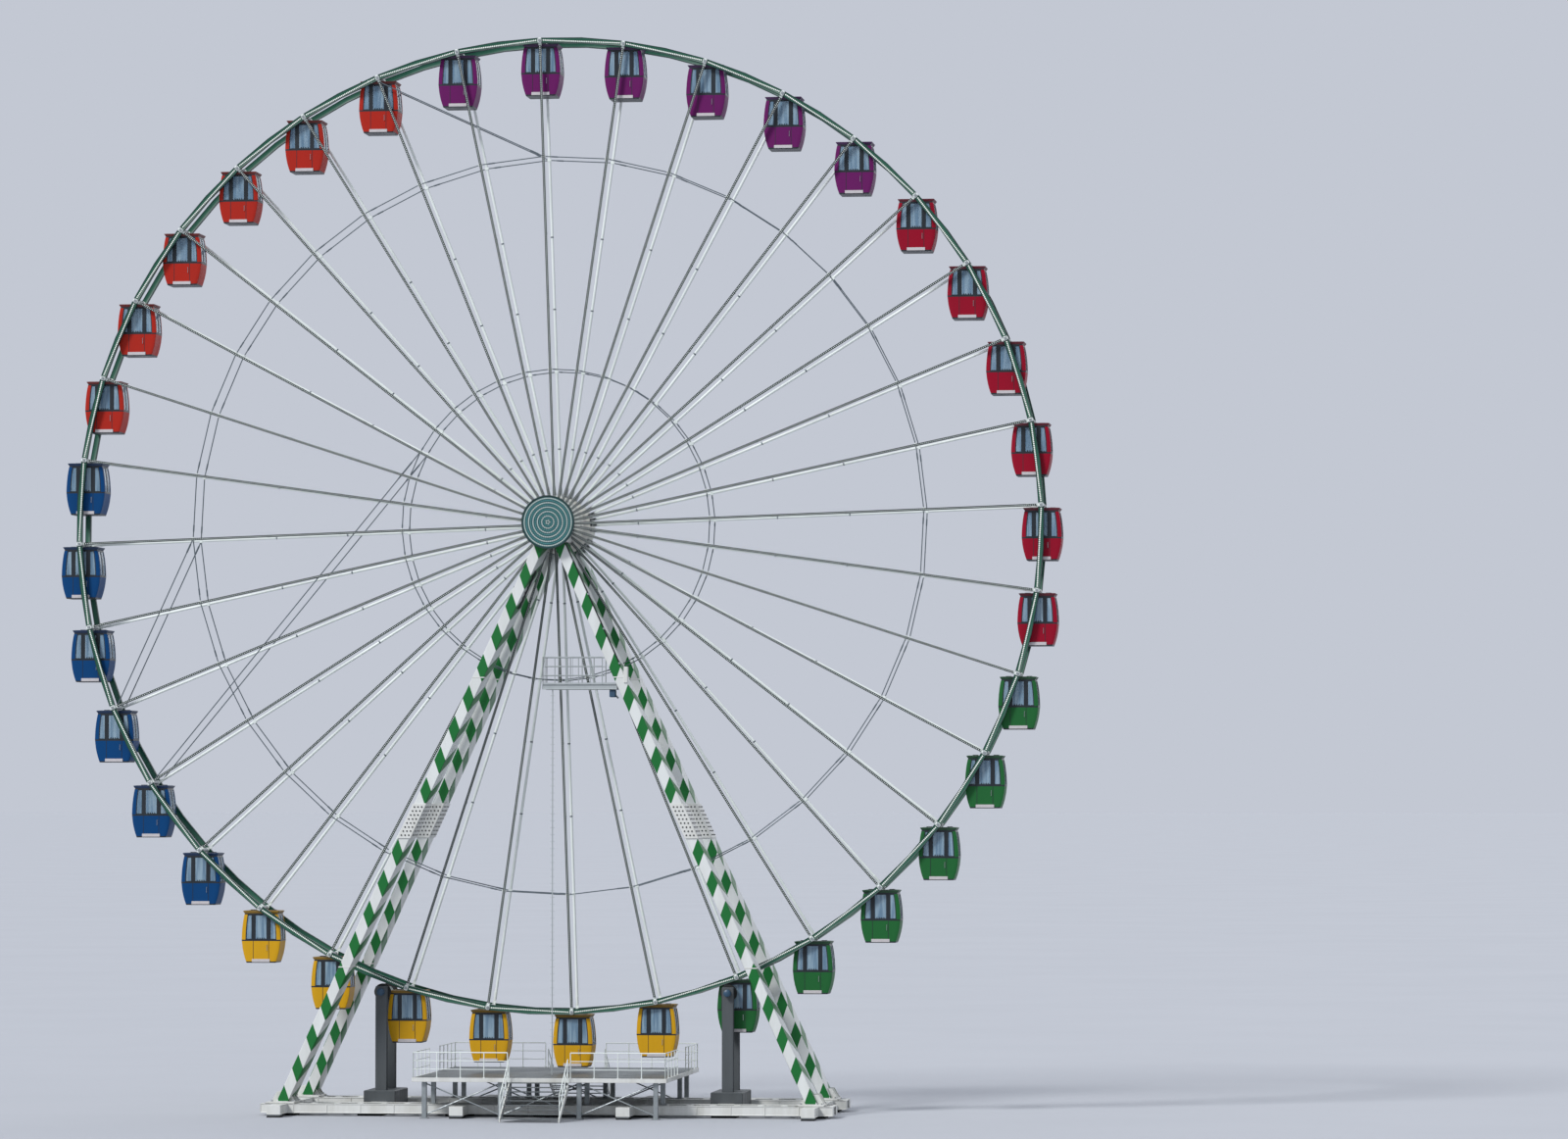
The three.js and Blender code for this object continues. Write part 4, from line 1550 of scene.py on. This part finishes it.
@dataclass
class ServicePlatform:
    """The fitter's platform beside the front right leg."""

    level: float = HUB_HEIGHT - 7.0
    left: float = -0.3
    thickness: float = 0.22
    depth: float = 1.1
    joist_count: int = 5
    rail_height: float = 1.2
    rail_end: float = 0.65
    gate_bars: tuple[float, ...] = (0.72, 0.82, 0.92, 1.02)
    gate_height: float = 1.18
    mast_inset: float = 0.44
    mast_foot: float = 1.76
    rung_half: float = 0.1
    rung_pitch: float = 0.3

    def build(self) -> None:
        """Makes deck, rails, gate, bracket, motor box and ladder mast as one piece."""
        leg = Leg(Hand.RIGHT, Side.FRONT)
        left, level = self.left, self.level
        middle = leg.middle(level)
        right = middle.x - leg.width / 2 - SEAT_GAP
        front, back = middle.y - self.depth / 2, middle.y + self.depth / 2
        parts = [Bench.block(
            (left + 0.02, front + 0.02, level - 0.04), (right - 0.01, back - 0.02, level),
            DECK_PLATE, edge=0.006)]
        for y in (front + 0.04, back - 0.04):
            channel = Bench.block(
                (left, y - 0.04, level - self.thickness), (right, y + 0.04, level - 0.03),
                PLATFORM_ZINC, edge=0.006)
            with Editing(channel) as edit:
                edit.inset(facing(Axis.Y), 0.03, -0.025)
            parts.append(channel)
        for step in range(self.joist_count):
            x = left + 0.03 + (right - left - 0.3) * step / (self.joist_count - 1)
            parts.append(Bench.block(
                (x - 0.03, front + 0.05, level - 0.16), (x + 0.03, back - 0.05, level - 0.03),
                ROD_ZINC))
        corners = [(x, y, level) for x, y in (
            (right - self.rail_end, front + 0.03), (left + 0.03, front + 0.03),
            (left + 0.03, back - 0.03), (right - self.rail_end, back - 0.03))]
        parts += Railing.run(corners, self.rail_height, 0.6, PLATFORM_ZINC, bars=3)
        for y in (front + 0.008, back - 0.008):
            parts.append(Bench.block(
                (left, y - 0.008, level - 0.01), (right - 0.05, y + 0.008, level + 0.07),
                PLATFORM_ZINC))
        for x in self.gate_bars:
            parts.append(Bench.tube(
                (x, front + 0.03, level), (x, front + 0.03, level + self.gate_height), 0.014,
                PLATFORM_ZINC, sides=6))
        parts += self.mast(front + 0.12)
        parts.append(Bench.block(
            (right - 0.35, front + 0.1, level - 0.56), (right - 0.08, front + 0.4, level - 0.24),
            MOTOR_BLUE, edge=0.03))
        parts.append(Bench.bar(
            (right - 0.4, middle.y, level - 0.2), (right - 0.02, middle.y, level - 0.6), 0.07, 0.07,
            ZINC, edge=0.01))
        Bench.place(
            Bench.join(parts), "service_walkway", "support", "galvanised", ["service_platform"])

    def mast(self, y: float) -> list[Piece]:
        """The slim climbing mast from the boarding deck, with a rung to both sides."""
        x, top = self.left + self.mast_inset, self.level - 0.2
        post = Bench.tube((x, y, self.mast_foot), (x, y, top), 0.024, PLATFORM_ZINC, sides=8)
        rung = Bench.tube(
            (x - self.rung_half, y, 0), (x + self.rung_half, y, 0), 0.01, PLATFORM_ZINC, sides=6)
        count = int((top - self.mast_foot) / self.rung_pitch)
        return [post, Bench.repeat(rung, [
            Matrix.Translation((0, 0, self.mast_foot + self.rung_pitch * (step + 0.5)))
            for step in range(count)])]


@dataclass
class BaseFrame:
    """The beams on the ground with their pads and outriggers."""

    pad_height: float = 0.12
    beam_height: float = 0.4
    side_width: float = 1.8
    end_width: float = 0.7
    overhang: float = 0.9
    web_pitch: float = 1.5
    tie_count: int = 25
    foot_plate_half: float = 0.75
    pad_size: float = 1.1
    pad_count: int = 7
    outrigger_width: float = 0.6
    outrigger_end: float = 5.1
    inner_outrigger: float = 3.6
    foot: Vector = field(
        default_factory=lambda: Leg(Hand.RIGHT, Side.FRONT).middle(Leg.base_top))

    @property
    def top(self) -> float:
        """Height of the beams' upper faces."""
        return self.pad_height + self.beam_height

    @property
    def reach(self) -> float:
        """How far a beam between the two side beams reaches from the middle."""
        return -self.foot.y - self.side_width / 2 - SEAT_GAP

    def box_beam(self, low: Point, high: Point, web: Axis) -> Piece:
        """A welded box beam whose long webs are set in between stiffeners.

        Args:
            low: Its lowest corner.
            high: Its highest corner.
            web: The axis that its long webs face.

        Returns:
            The new piece.
        """
        beam = Bench.block(low, high, PLATE_WHITE, edge=0.01)
        along = Axis.Y if web is Axis.X else Axis.X
        length = high[along] - low[along]
        count = max(round(length / self.web_pitch), 1)
        with Editing(beam) as edit:
            for step in range(1, count):
                spot = [0.0, 0.0, 0.0]
                spot[along] = low[along] + length * step / count
                edit.cut(spot, [float(place == along) for place in Axis])
            edit.inset(facing(web), 0.035, -0.03)
        return beam

    def cross_beam(self, x: float, width: float) -> Piece:
        """A beam on the ground from one side beam to the other."""
        return self.box_beam(
            (x - width / 2, -self.reach, 0.0), (x + width / 2, self.reach, self.top), Axis.X)

    def side_beam(self) -> Piece:
        """The long beam under two feet, as the front one."""
        x, y = self.foot.x, self.foot.y
        low, top = self.pad_height, self.top
        reach, half = x + self.overhang, self.side_width / 2
        parts = [
            self.box_beam((-reach, y - half, low), (reach, y - half + 0.5, top), Axis.Y),
            self.box_beam((-reach, y + half - 0.5, low), (reach, y + half, top), Axis.Y)]
        for step in range(self.tie_count):
            middle = -reach + 0.15 + (2 * reach - 0.3) * step / (self.tie_count - 1)
            parts.append(Bench.upright(
                (middle, y), (0.12, half - 0.4), (top - 0.06, top - 0.004), PLATE_WHITE, edge=0.01))
        for spot in (-x, x):
            parts.append(Bench.upright(
                (spot, y), (self.foot_plate_half, half - 0.05), (top - 0.05, top), PLATE_WHITE,
                edge=0.01))
        for index in range(self.pad_count):
            parts += self.pad(-x + 2 * x * index / (self.pad_count - 1), y, self.pad_size)
        for middle in (-x, -self.inner_outrigger, self.inner_outrigger, x):
            parts.append(self.box_beam(
                (middle - self.outrigger_width / 2, -self.outrigger_end, low),
                (middle + self.outrigger_width / 2, y - half + 0.02, top), Axis.X))
            parts += self.pad(
                middle, -self.outrigger_end + self.outrigger_width / 2, self.outrigger_width)
        return Bench.join(parts)

    def pad(self, x: float, y: float, size: float) -> list[Piece]:
        """A rubber pad under a steel plate."""
        half, rubber = size / 2, 0.07
        return [
            Bench.upright((x, y), (half, half), (0, rubber), RUBBER, edge=0.012),
            Bench.upright((x, y), (half - 0.04, half - 0.04), (rubber, self.pad_height + 0.004),
                          ZINC, edge=0.008)]

    def build(self) -> None:
        """Makes the two side beams and the two end beams."""
        for side in Side:
            Bench.place_at(side, self.side_beam(), "side_beam", "support", "leg_white", "base_beam")
        for hand in Hand:
            beam = self.cross_beam(hand.value * self.foot.x, self.end_width)
            Bench.place(
                beam, f"{hand.word}_end_beam", "support", "leg_white", [f"{hand.word}_base_beam"])


@dataclass
class BoardingDeck:
    """The boarding platform: framed tread plates, posts, braces and handrails."""

    level: float = 1.75
    thickness: float = 0.18
    half_length: float = 5.5
    half_depth: float = 5.2
    frame_width: float = 0.06
    panels: tuple[int, int] = (10, 8)
    joint: float = 0.006
    joists: tuple[float, ...] = (-5.0, -3.35, -1.7, 0.0, 1.7, 3.35, 5.0)
    post: float = 0.2
    columns: tuple[float, ...] = (-5.0, -1.7, 1.7, 5.0)
    outer_row: float = 4.9
    brace_foot: float = 0.15
    rail_height: float = 1.1
    rail_spacing: float = 1.1
    slot: float = 1.3
    gate: float = 1.36

    @property
    def under(self) -> float:
        """Height of the deck's underside."""
        return self.level - self.thickness

    @property
    def inner(self) -> tuple[float, float]:
        """Half the deck's length and depth inside the frame."""
        return self.half_length - self.frame_width, self.half_depth - self.frame_width

    def plates(self) -> Piece:
        """The tread plates, laid in rows inside the frame."""
        columns, rows = self.panels
        edge_x, edge_y = self.inner
        width, depth = 2 * edge_x / columns, 2 * edge_y / rows
        panel = Bench.upright(
            (0, 0), (width / 2 - self.joint, depth / 2 - self.joint),
            (self.level - 0.03, self.level), DECK_PLATE, edge=0.005)
        return Bench.repeat(panel, [
            Matrix.Translation(((column + 0.5) * width - edge_x, (row + 0.5) * depth - edge_y, 0))
            for column in range(columns) for row in range(rows)])

    def frame(self) -> list[Piece]:
        """The white edge channels and the joists."""
        half, levels = self.frame_width / 2, (self.under, self.level)
        parts = []
        for side in (-1, 1):
            parts.append(Bench.upright(
                (0, side * (self.half_depth - half)), (self.half_length, half), levels, PLATE_WHITE,
                edge=0.008))
            parts.append(Bench.upright(
                (side * (self.half_length - half), 0), (half, self.half_depth - self.frame_width),
                levels, PLATE_WHITE, edge=0.008))
        return parts + [
            Bench.upright(
                (x, 0), (0.05, self.half_depth - 0.05), (self.under, self.level - 0.03), ZINC)
            for x in self.joists]

    def posts(self) -> list[Piece]:
        """The posts with their foot plates, and the crossed braces of the outer rows."""
        ground = BaseFrame()
        inner, seat = ground.foot.y, ground.top + SEAT_GAP
        half, foot_half = self.post / 2, self.post / 2 + 0.08
        parts = []
        for x in self.columns:
            for y, low in ((-self.outer_row, 0.0), (inner, seat), (-inner, seat),
                           (self.outer_row, 0.0)):
                parts.append(Bench.upright(
                    (x, y), (half, half), (low, self.under + 0.02), ZINC, edge=0.015))
                parts.append(Bench.upright(
                    (x, y), (foot_half, foot_half), (low, low + 0.03), ZINC, edge=0.008))
        ends = (self.brace_foot, self.under - 0.05)
        for x, follow in zip(self.columns, self.columns[1:]):
            for y in (-self.outer_row, self.outer_row):
                for low, high in (ends, ends[::-1]):
                    parts.append(Bench.tube((x, y, low), (follow, y, high), 0.03, ZINC, sides=8))
        return parts

    def build(self) -> None:
        """Makes the deck and its handrails as two pieces."""
        Bench.place(Bench.join([self.plates(), *self.frame(), *self.posts()]), "boarding_deck",
                    "support", "deck_grey", ["boarding_platform"])
        edge_x, edge_y = self.inner
        rails = []
        for side in (-1, 1):
            for end in (-1, 1):
                line = [(end * x, side * y, self.level) for x, y in (
                    (self.gate, edge_y), (edge_x, edge_y), (edge_x, self.slot))]
                rails += Railing.run(line, self.rail_height, self.rail_spacing, TUBE_WHITE, bars=3)
        Bench.place(Bench.join(rails), "boarding_handrails", "support", "deck_grey")


@dataclass
class Stair:
    """A flight of treads between two stringers, with handrails."""

    side: Side
    top: float = 1.75
    start: float = 5.2 + SEAT_GAP
    half_width: float = 1.3
    steps: int = 10
    going: float = 0.28
    stringer_height: float = 0.34
    rail_height: float = 1.0
    rail_spacing: float = 0.9

    def build(self) -> None:
        """Makes the flight as one piece, as the front one."""
        rise = self.top / self.steps
        tread = Bench.block(
            (-self.half_width + 0.05, -self.going, -0.04), (self.half_width - 0.05, 0, 0),
            DECK_PLATE, edge=0.006)
        parts = [Bench.repeat(tread, [
            Matrix.Translation((0, -self.start - step * self.going, self.top - (step + 1) * rise))
            for step in range(self.steps - 1)])]
        end = self.start + (self.steps - 1) * self.going
        for x in (-self.half_width + 0.03, self.half_width - 0.03):
            stringer = Bench.block(
                (x - 0.03, -end, 0.0), (x + 0.03, -self.start, self.stringer_height), PLATE_WHITE,
                edge=0.008)
            with Editing(stringer) as edit:
                edit.move(lambda spot: spot.y > -self.start - 0.2,
                          (0, 0, self.top - rise - self.stringer_height))
                edit.move(lambda spot: spot.y < -end + 0.2 and spot.z > 0.2, (0, 0, -0.15))
            parts.append(stringer)
            parts += Railing.run(
                [(x, -self.start - 0.12, self.top - rise), (x, -end + 0.12, rise)],
                self.rail_height, self.rail_spacing, TUBE_WHITE)
        name = "entry" if self.side is Side.FRONT else "exit"
        Bench.place(Bench.to_side(Bench.join(parts), self.side), f"{name}_flight", "support",
                    "deck_grey", [f"{name}_stair"])


@dataclass
class Drive:
    """A drive pedestal with two rubber tyres under the rims."""

    hand: Hand
    distance: float = 7.6
    rim_offset: float = 0.79
    rim_half: float = 0.12
    base: tuple[float, float, float] = (1.4, 3.0, 1.0)
    tyre_radius: float = 0.36
    tyre_width: float = 0.2
    wheel_radius: float = 0.2
    running_gap: float = 0.03
    post: tuple[float, float] = (0.5, 0.3)
    cross_width: float = 0.7

    def tyre(self, x: float, z: float) -> Piece:
        """A grooved tyre on its hub, as the front one."""
        outer, inner, half = self.tyre_radius, self.wheel_radius, self.tyre_width / 2
        body = Bench.turned(both_ways([
            (outer - 0.02, 0.012), (outer, 0.02), (outer, half - 0.03), (outer - 0.03, half),
            (inner, half - 0.01)]), 32, RUBBER)
        disc = Bench.turned([
            (inner - 0.01, -half - 0.005), (inner, -half + 0.02), (inner, half - 0.02),
            (inner - 0.01, half + 0.005), (0.07, half + 0.015)], 24, ZINC)
        tyre = Bench.join([body, disc])
        tyre.data.transform(front_frame(x, -self.rim_offset, z))
        return tyre

    def build(self) -> None:
        """Makes the pedestal as one piece."""
        reach = PIVOT_RADIUS + self.rim_half + self.running_gap + self.tyre_radius
        x = self.hand.value * self.distance
        z = HUB_HEIGHT - math.sqrt(reach ** 2 - self.distance ** 2)
        width, depth, height = self.base
        base = Bench.upright((x, 0), (width / 2, depth / 2), (0, height), DRIVE_PAINT, edge=0.03)
        with Editing(base) as edit:
            edit.inset(lambda centre, normal: max(abs(normal.x), abs(normal.y)) > 0.9, 0.08, -0.03)
        beam = BaseFrame().cross_beam(x, self.cross_width)
        inner = self.rim_offset + self.tyre_width / 2 - 0.02
        half, thick = self.post[0] / 2, self.post[1]
        post = Bench.block(
            (x - half, -inner - thick, height / 2), (x + half, -inner, z + half), DRIVE_PAINT,
            edge=0.02)
        with Editing(post) as edit:
            edit.inset(facing(Axis.X), 0.05, -0.04)
        motor = Bench.turned([
            (0.12, 0.0), (0.16, 0.02), (0.16, 0.1), (0.135, 0.12), (0.135, 0.2), (0.15, 0.22),
            (0.15, 0.26), (0.08, 0.3)], 20, MOTOR_BLUE)
        motor.data.transform(front_frame(x, -inner - thick + 0.02, z))
        front = Bench.join([post, motor, self.tyre(x, z)])
        back = Bench.flipped(Bench.copy(front), Axis.Y)
        Bench.place(Bench.join([base, beam, front, back]), f"{self.hand.word}_drive_unit",
                    "support", "drive_grey", [f"{self.hand.word}_drive"])


@dataclass
class Axle:
    """The fixed axle with a collar behind each light disc."""

    radius: float = 0.22
    half_length: float = 2.9
    collar_radius: float = 0.34
    collar_width: float = 0.12
    collar_reach: float = 2.86

    def build(self) -> None:
        """Makes the axle as one piece that stands for its node."""
        parts = [
            Bench.tube((0, low, HUB_HEIGHT), (0, high, HUB_HEIGHT), radius, finish, sides=32,
                       rim=0.02)
            for low, high, radius, finish in (
                (-self.half_length, self.half_length, self.radius, ZINC),
                (-self.collar_reach, self.collar_width - self.collar_reach, self.collar_radius,
                 BEARING_STEEL),
                (self.collar_reach - self.collar_width, self.collar_reach, self.collar_radius,
                 BEARING_STEEL))]
        Bench.place(Bench.join(parts), "axle_shaft", "support", "galvanised", ["axle"])


@dataclass
class Cabin:
    """A six-seat cabin, modelled once at its pivot and copied in each colour."""

    depth: float = 1.2
    wall: float = 0.035
    pane: float = 0.008
    seal: float = 0.034
    window_top: float = -0.29
    window_bottom: float = -1.39
    belt: float = 0.06
    painted_shade_below: float = -2.34
    corner: float = 0.175
    end_corner: float = 0.13
    mullion: float = 0.04
    widest: float = 0.865
    pillar: tuple[float, float] = (0.28, 0.39)
    outline: tuple[tuple[float, float], ...] = (
        (-2.4, 0.645), (-2.34, 0.668), (-2.2, 0.718), (-2.0, 0.775), (-1.75, 0.826),
        (-1.45, 0.86), (-1.39, 0.865), (-1.15, 0.857), (-0.9, 0.84), (-0.65, 0.812),
        (-0.45, 0.78), (-0.29, 0.745), (-0.2, 0.7))
    door_half: float = 0.345
    seam_half: float = 0.011
    seam_top: float = -1.44
    handle: tuple[float, float, float] = (0.27, -1.62, -1.86)
    vents: tuple[float, ...] = (-0.15, -0.05, 0.05, 0.15)
    vent_level: float = -1.325
    bench_half: float = 0.5
    roof_half: tuple[float, float] = (0.8, 0.63)
    cheeks: tuple[float, ...] = (-0.42, -0.14, 0.14, 0.42)
    sleeve_bore: float = 0.0575
    sleeve_radius: float = 0.092
    sleeve_reach: float = 0.45

    def half_width(self, level: float) -> float:
        """Half the cabin's width at a height below the pivot."""
        levels, widths = zip(*self.outline)
        return float(np.interp(level, levels, widths))

    def shell(self) -> list[Piece]:
        """The shell with its window holes, and the panes cut from it.

        Returns:
            The shell and the panes.
        """
        low, high = self.outline[0][0], self.outline[-1][0]
        half = self.depth / 2
        shell = Bench.upright((0, 0), (self.widest, half), (low, high), CabinColour.PURPLE.shell())
        Bench.slot_of(shell, LINING)
        Bench.slot_of(shell, PROFILE_AND_PAINTED_SHADE)
        corner_x, corner_y = self.widest - self.corner, half - self.end_corner
        with Editing(shell) as edit:
            edit.edges(lambda middle, run: abs(run.z) > 0.9)
            bpy.ops.mesh.bevel(offset=0.03, segments=2, affect="EDGES")
            for level, _ in self.outline[1:-1]:
                edit.cut((0, 0, level), (0, 0, 1))
            for x in (-corner_x, corner_x):
                edit.cut((x, 0, 0), (1, 0, 0))
            for y in (-corner_y, -self.mullion, self.mullion, corner_y):
                edit.cut((0, y, 0), (0, 1, 0))
            for level, width in self.outline:
                edit.stretch(lambda spot, level=level: abs(spot.z - level) < 0.001,
                             (width / self.widest, 1, 1), (0, 0, level))
            for x in self.pillar:
                edit.cut((x, 0, 0), (1, 0, 0))
                edit.cut((-x, 0, 0), (1, 0, 0))
            # The pillars, belt and window frames take the dark profile colour; the band under the
            # roof and the lowest band take it as painted shade.
            for test in (self.is_dark, self.is_window):
                edit.faces(test)
                edit.paint(PROFILE_AND_PAINTED_SHADE)
            bpy.ops.mesh.inset(thickness=self.seal, depth=0.0)
            bpy.ops.mesh.inset(thickness=0.004, depth=-0.014)
            bpy.ops.mesh.separate(type="SELECTED")
        panes = next(piece for piece in bpy.context.selected_objects if piece is not shell)
        panes.data.materials.clear()
        with Editing(panes) as edit:
            edit.faces(lambda centre, normal: True)
            edit.paint(GLASS)
        Bench.thicken(shell, self.wall, lining=1)
        Bench.thicken(panes, self.pane)
        return [shell, panes]

    def is_window(self, centre: Vector, normal: Vector) -> bool:
        """Whether a face of the shell lies in a window."""
        if not self.window_bottom < centre.z < self.window_top:
            return False
        if abs(normal.y) > 0.9:
            inner, outer = self.pillar
            corner = self.half_width(centre.z) * (1 - self.corner / self.widest)
            return abs(centre.x) < inner or outer < abs(centre.x) < corner
        return (abs(normal.x) > 0.6
                and self.mullion < abs(centre.y) < self.depth / 2 - self.end_corner)

    def is_dark(self, centre: Vector, normal: Vector) -> bool:
        """Whether a face is a pillar or the belt at the windows, or painted shade: the band under
        the roof and the lowest band under the step.
        """
        # The band under the roof and the lowest band are painted shade.
        if centre.z < self.painted_shade_below or centre.z > self.window_top:
            return True
        if 0 < self.window_bottom - centre.z < self.belt:
            return True
        if not self.window_bottom < centre.z < self.window_top:
            return False
        inner, outer = self.pillar
        if abs(normal.y) > 0.9:
            return inner < abs(centre.x) < outer
        return abs(normal.x) > 0.6 and abs(centre.y) < self.mullion

    def outside(self) -> list[Piece]:
        """The door's seams and handle, the vents, the step and a dark strip of painted shade under
        it.
        """
        face = -self.depth / 2
        parts = []
        for x in (-self.door_half, self.door_half):
            for y, low in ((face + 0.003, -2.23), (-face - 0.003, -2.33)):
                parts.append(Bench.upright(
                    (x, y), (self.seam_half, 0.007), (low, self.seam_top), PROFILE_AND_PAINTED_SHADE))
        parts.append(Bench.block(
            (-0.4, face - 0.035, -2.375), (0.4, face + 0.01, -2.235), STEP, edge=0.012))
        # Dark strip under the step: painted shade.
        parts.append(Bench.block(
            (-0.42, face - 0.03, -2.4), (0.42, face + 0.01, -2.372), PROFILE_AND_PAINTED_SHADE, edge=0.006))
        x, high, low = self.handle
        out = face - 0.035
        parts.append(Bench.bent(
            [(x, face, high), (x, out, high), (x, out, low), (x, face, low)], 0.011, STAINLESS))
        for x in self.vents:
            parts.append(Bench.tube(
                (x, face + 0.02, self.vent_level), (x, face - 0.003, self.vent_level), 0.024,
                PROFILE_AND_PAINTED_SHADE, sides=10, rim=0.004))
        return parts

    def inside(self) -> list[Piece]:
        """Benches with backs, a grab pole and a round table."""
        parts = [
            Bench.upright((side * middle, 0), (half, self.bench_half), levels, BENCH, edge=0.03)
            for side in (-1, 1)
            for middle, half, levels in ((0.52, 0.18, (-2.0, -1.9)), (0.71, 0.05, (-1.95, -1.32)))]
        parts.append(Bench.tube((0, 0, -2.37), (0, 0, -0.24), 0.026, STAINLESS, sides=10))
        parts.append(Bench.tube((0, 0, -1.78), (0, 0, -1.74), 0.2, LINING, sides=20, rim=0.01))
        return parts

    def top(self) -> list[Piece]:
        """The roof plate and the hanger with its bearing sleeve."""
        # The roof plate takes the darker roof finish, partly painted shade.
        roof = Bench.upright(
            (0, 0), self.roof_half, (-0.25, -0.13), CabinColour.PURPLE.roof(), edge=0.012)
        with Editing(roof) as edit:
            edit.stretch(lambda spot: spot.z < -0.2, (0.92, 0.96, 1))
            edit.faces(lambda centre, normal: normal.z > 0.9)
            bpy.ops.mesh.inset(thickness=0.1, depth=0.015)
        bore, radius, reach = self.sleeve_bore, self.sleeve_radius, self.sleeve_reach
        sleeve = Bench.turned(
            [(bore, -reach), (radius, -reach), (radius, reach), (bore, reach), (bore, -reach)], 16,
            ZINC, hollow=True)
        sleeve.data.transform(TO_FRONT)
        parts = [roof, sleeve]
        for y in self.cheeks:
            cheek = Bench.upright((0, y), (0.11, 0.02), (-0.14, -0.06), TUBE_WHITE)
            with Editing(cheek) as edit:
                edit.stretch(lambda spot: spot.z > -0.1, (0.7, 1, 1))
                edit.soften(0.005)
            parts.append(cheek)
        return parts + [Bench.upright((x, 0), (0.12, 0.12), (-0.12, -0.085), PROFILE_AND_PAINTED_SHADE, edge=0.01)
                        for x in (-0.45, 0.45)]

    def build(self) -> None:
        """Makes the 36 cabins in their six colours and hangs them on their tubes."""
        pattern = Bench.join([*self.shell(), *self.outside(), *self.inside(), *self.top()])
        first = CabinColour.PURPLE
        shell = pattern.data.materials.find(first.shell().name)
        roof = pattern.data.materials.find(first.roof().name)
        colours = list(CabinColour)
        for index in range(BAYS):
            colour = colours[(index + 1) % BAYS // 6]
            cabin = Bench.copy(pattern)
            cabin.data.materials[shell] = colour.shell().material()
            cabin.data.materials[roof] = colour.roof().material()
            pivot = Bench.hub_turn(REST_TURN) @ wheel_point(PIVOT_RADIUS, 0.0, index)
            cabin.data.transform(Matrix.Translation(pivot))
            body = f"cabin_{index + 1:02d}"
            Bench.place(cabin, f"{body}_shell", body, colour.slot, [body])
        bpy.data.objects.remove(pattern)


@dataclass
class Studio:
    """The camera at the photograph's place, the floor, the backdrop and the lights."""

    image_width: int = 1600
    focal_pixels: float = 5885.0
    sensor: float = 36.0
    azimuth: float = math.radians(9.0)
    distance: float = 252.0
    eye_height: float = 13.6
    yaw: float = math.radians(2.24)
    pitch: float = math.radians(2.29)
    clip_start: float = 1.0
    floor_size: float = 6000.0
    floor_level: float = -0.001
    suns: tuple[tuple[float, float, float, float], ...] = (
        (-38, 48, 2.7, 14), (150, 60, 0.6, 60))
    backdrop: str = "#C3C8D3"
    floor: Weathered = Weathered(
        "pale_studio_floor", "#ADB0B6", 0.8, worn="#A9ACB2", patch=8.0, streak=1.0, relief=0.02,
        grain=0.5)

    def camera(self) -> None:
        """Sets the camera from its place, its heading and its focal length."""
        eye = Vector((self.distance * math.sin(self.azimuth),
                      -self.distance * math.cos(self.azimuth), self.eye_height)) * HALF
        heading = math.atan2(-eye.x, -eye.y) + self.yaw
        ahead = Vector((math.sin(heading) * math.cos(self.pitch),
                        math.cos(heading) * math.cos(self.pitch), math.sin(self.pitch)))
        right = Vector((math.cos(heading), -math.sin(heading), 0))
        upward = right.cross(ahead)
        lens = bpy.data.cameras.new("photo_camera")
        lens.sensor_fit = "HORIZONTAL"
        lens.sensor_width = self.sensor
        lens.lens = self.focal_pixels * self.sensor / self.image_width
        lens.clip_start = self.clip_start
        lens.clip_end = self.floor_size * 2
        camera = bpy.data.objects.new("photo_camera", lens)
        bpy.context.scene.collection.objects.link(camera)
        turn = Matrix((right, upward, -ahead)).transposed()
        camera.matrix_world = Matrix.Translation(eye) @ turn.to_4x4()
        bpy.context.scene.camera = camera

    def lights(self) -> None:
        """A soft key from the front left, a weak fill from behind, and an even backdrop.

        Each sun's numbers are its bearing, its tilt from overhead, its power and its spread.
        """
        bpy.ops.object.select_all(action="DESELECT")
        for bearing, tilt, power, spread in self.suns:
            bpy.ops.object.light_add(
                type="SUN", rotation=(math.radians(tilt), 0, math.radians(bearing)))
            sun = bpy.context.object.data
            sun.energy = power
            sun.angle = math.radians(spread)
        world = bpy.data.worlds.new("studio_backdrop")
        world.use_nodes = True
        glow = world.node_tree.nodes["Background"]
        glow.inputs[0].default_value = linear(self.backdrop)
        glow.inputs[1].default_value = 1.0
        bpy.context.scene.world = world
        bpy.context.scene.view_settings.view_transform = "Standard"

    def ground(self) -> None:
        """The plain floor that the wheel stands on."""
        bpy.ops.object.select_all(action="DESELECT")
        bpy.ops.mesh.primitive_plane_add(size=self.floor_size, location=(0, 0, self.floor_level))
        floor = bpy.context.object
        bpy.ops.object.transform_apply(location=True, rotation=False, scale=True)
        floor.name = "studio_floor"
        floor.data.materials.append(self.floor.material())

    def build(self) -> None:
        """Sets up the camera, the lights and the floor."""
        self.camera()
        self.lights()
        self.ground()


def main() -> None:
    """Builds the studio and then the wheel from its supports to its cabins."""
    logging.basicConfig(level=logging.INFO, format="%(message)s")
    Studio().build()
    BaseFrame().build()
    BoardingDeck().build()
    for side in Side:
        for hand in Hand:
            Leg(hand, side).build()
        Stair(side).build()
        BearingHead(side).build()
        LightDisc(side).build()
        Rim(side).build()
        SpokeFace(side).build()
    for hand in Hand:
        Drive(hand).build()
    LegServices().build()
    ServicePlatform().build()
    Axle().build()
    Hub().build()
    CrossTubes().build()
    Cabin().build()


if __name__ == "__main__":
    main()
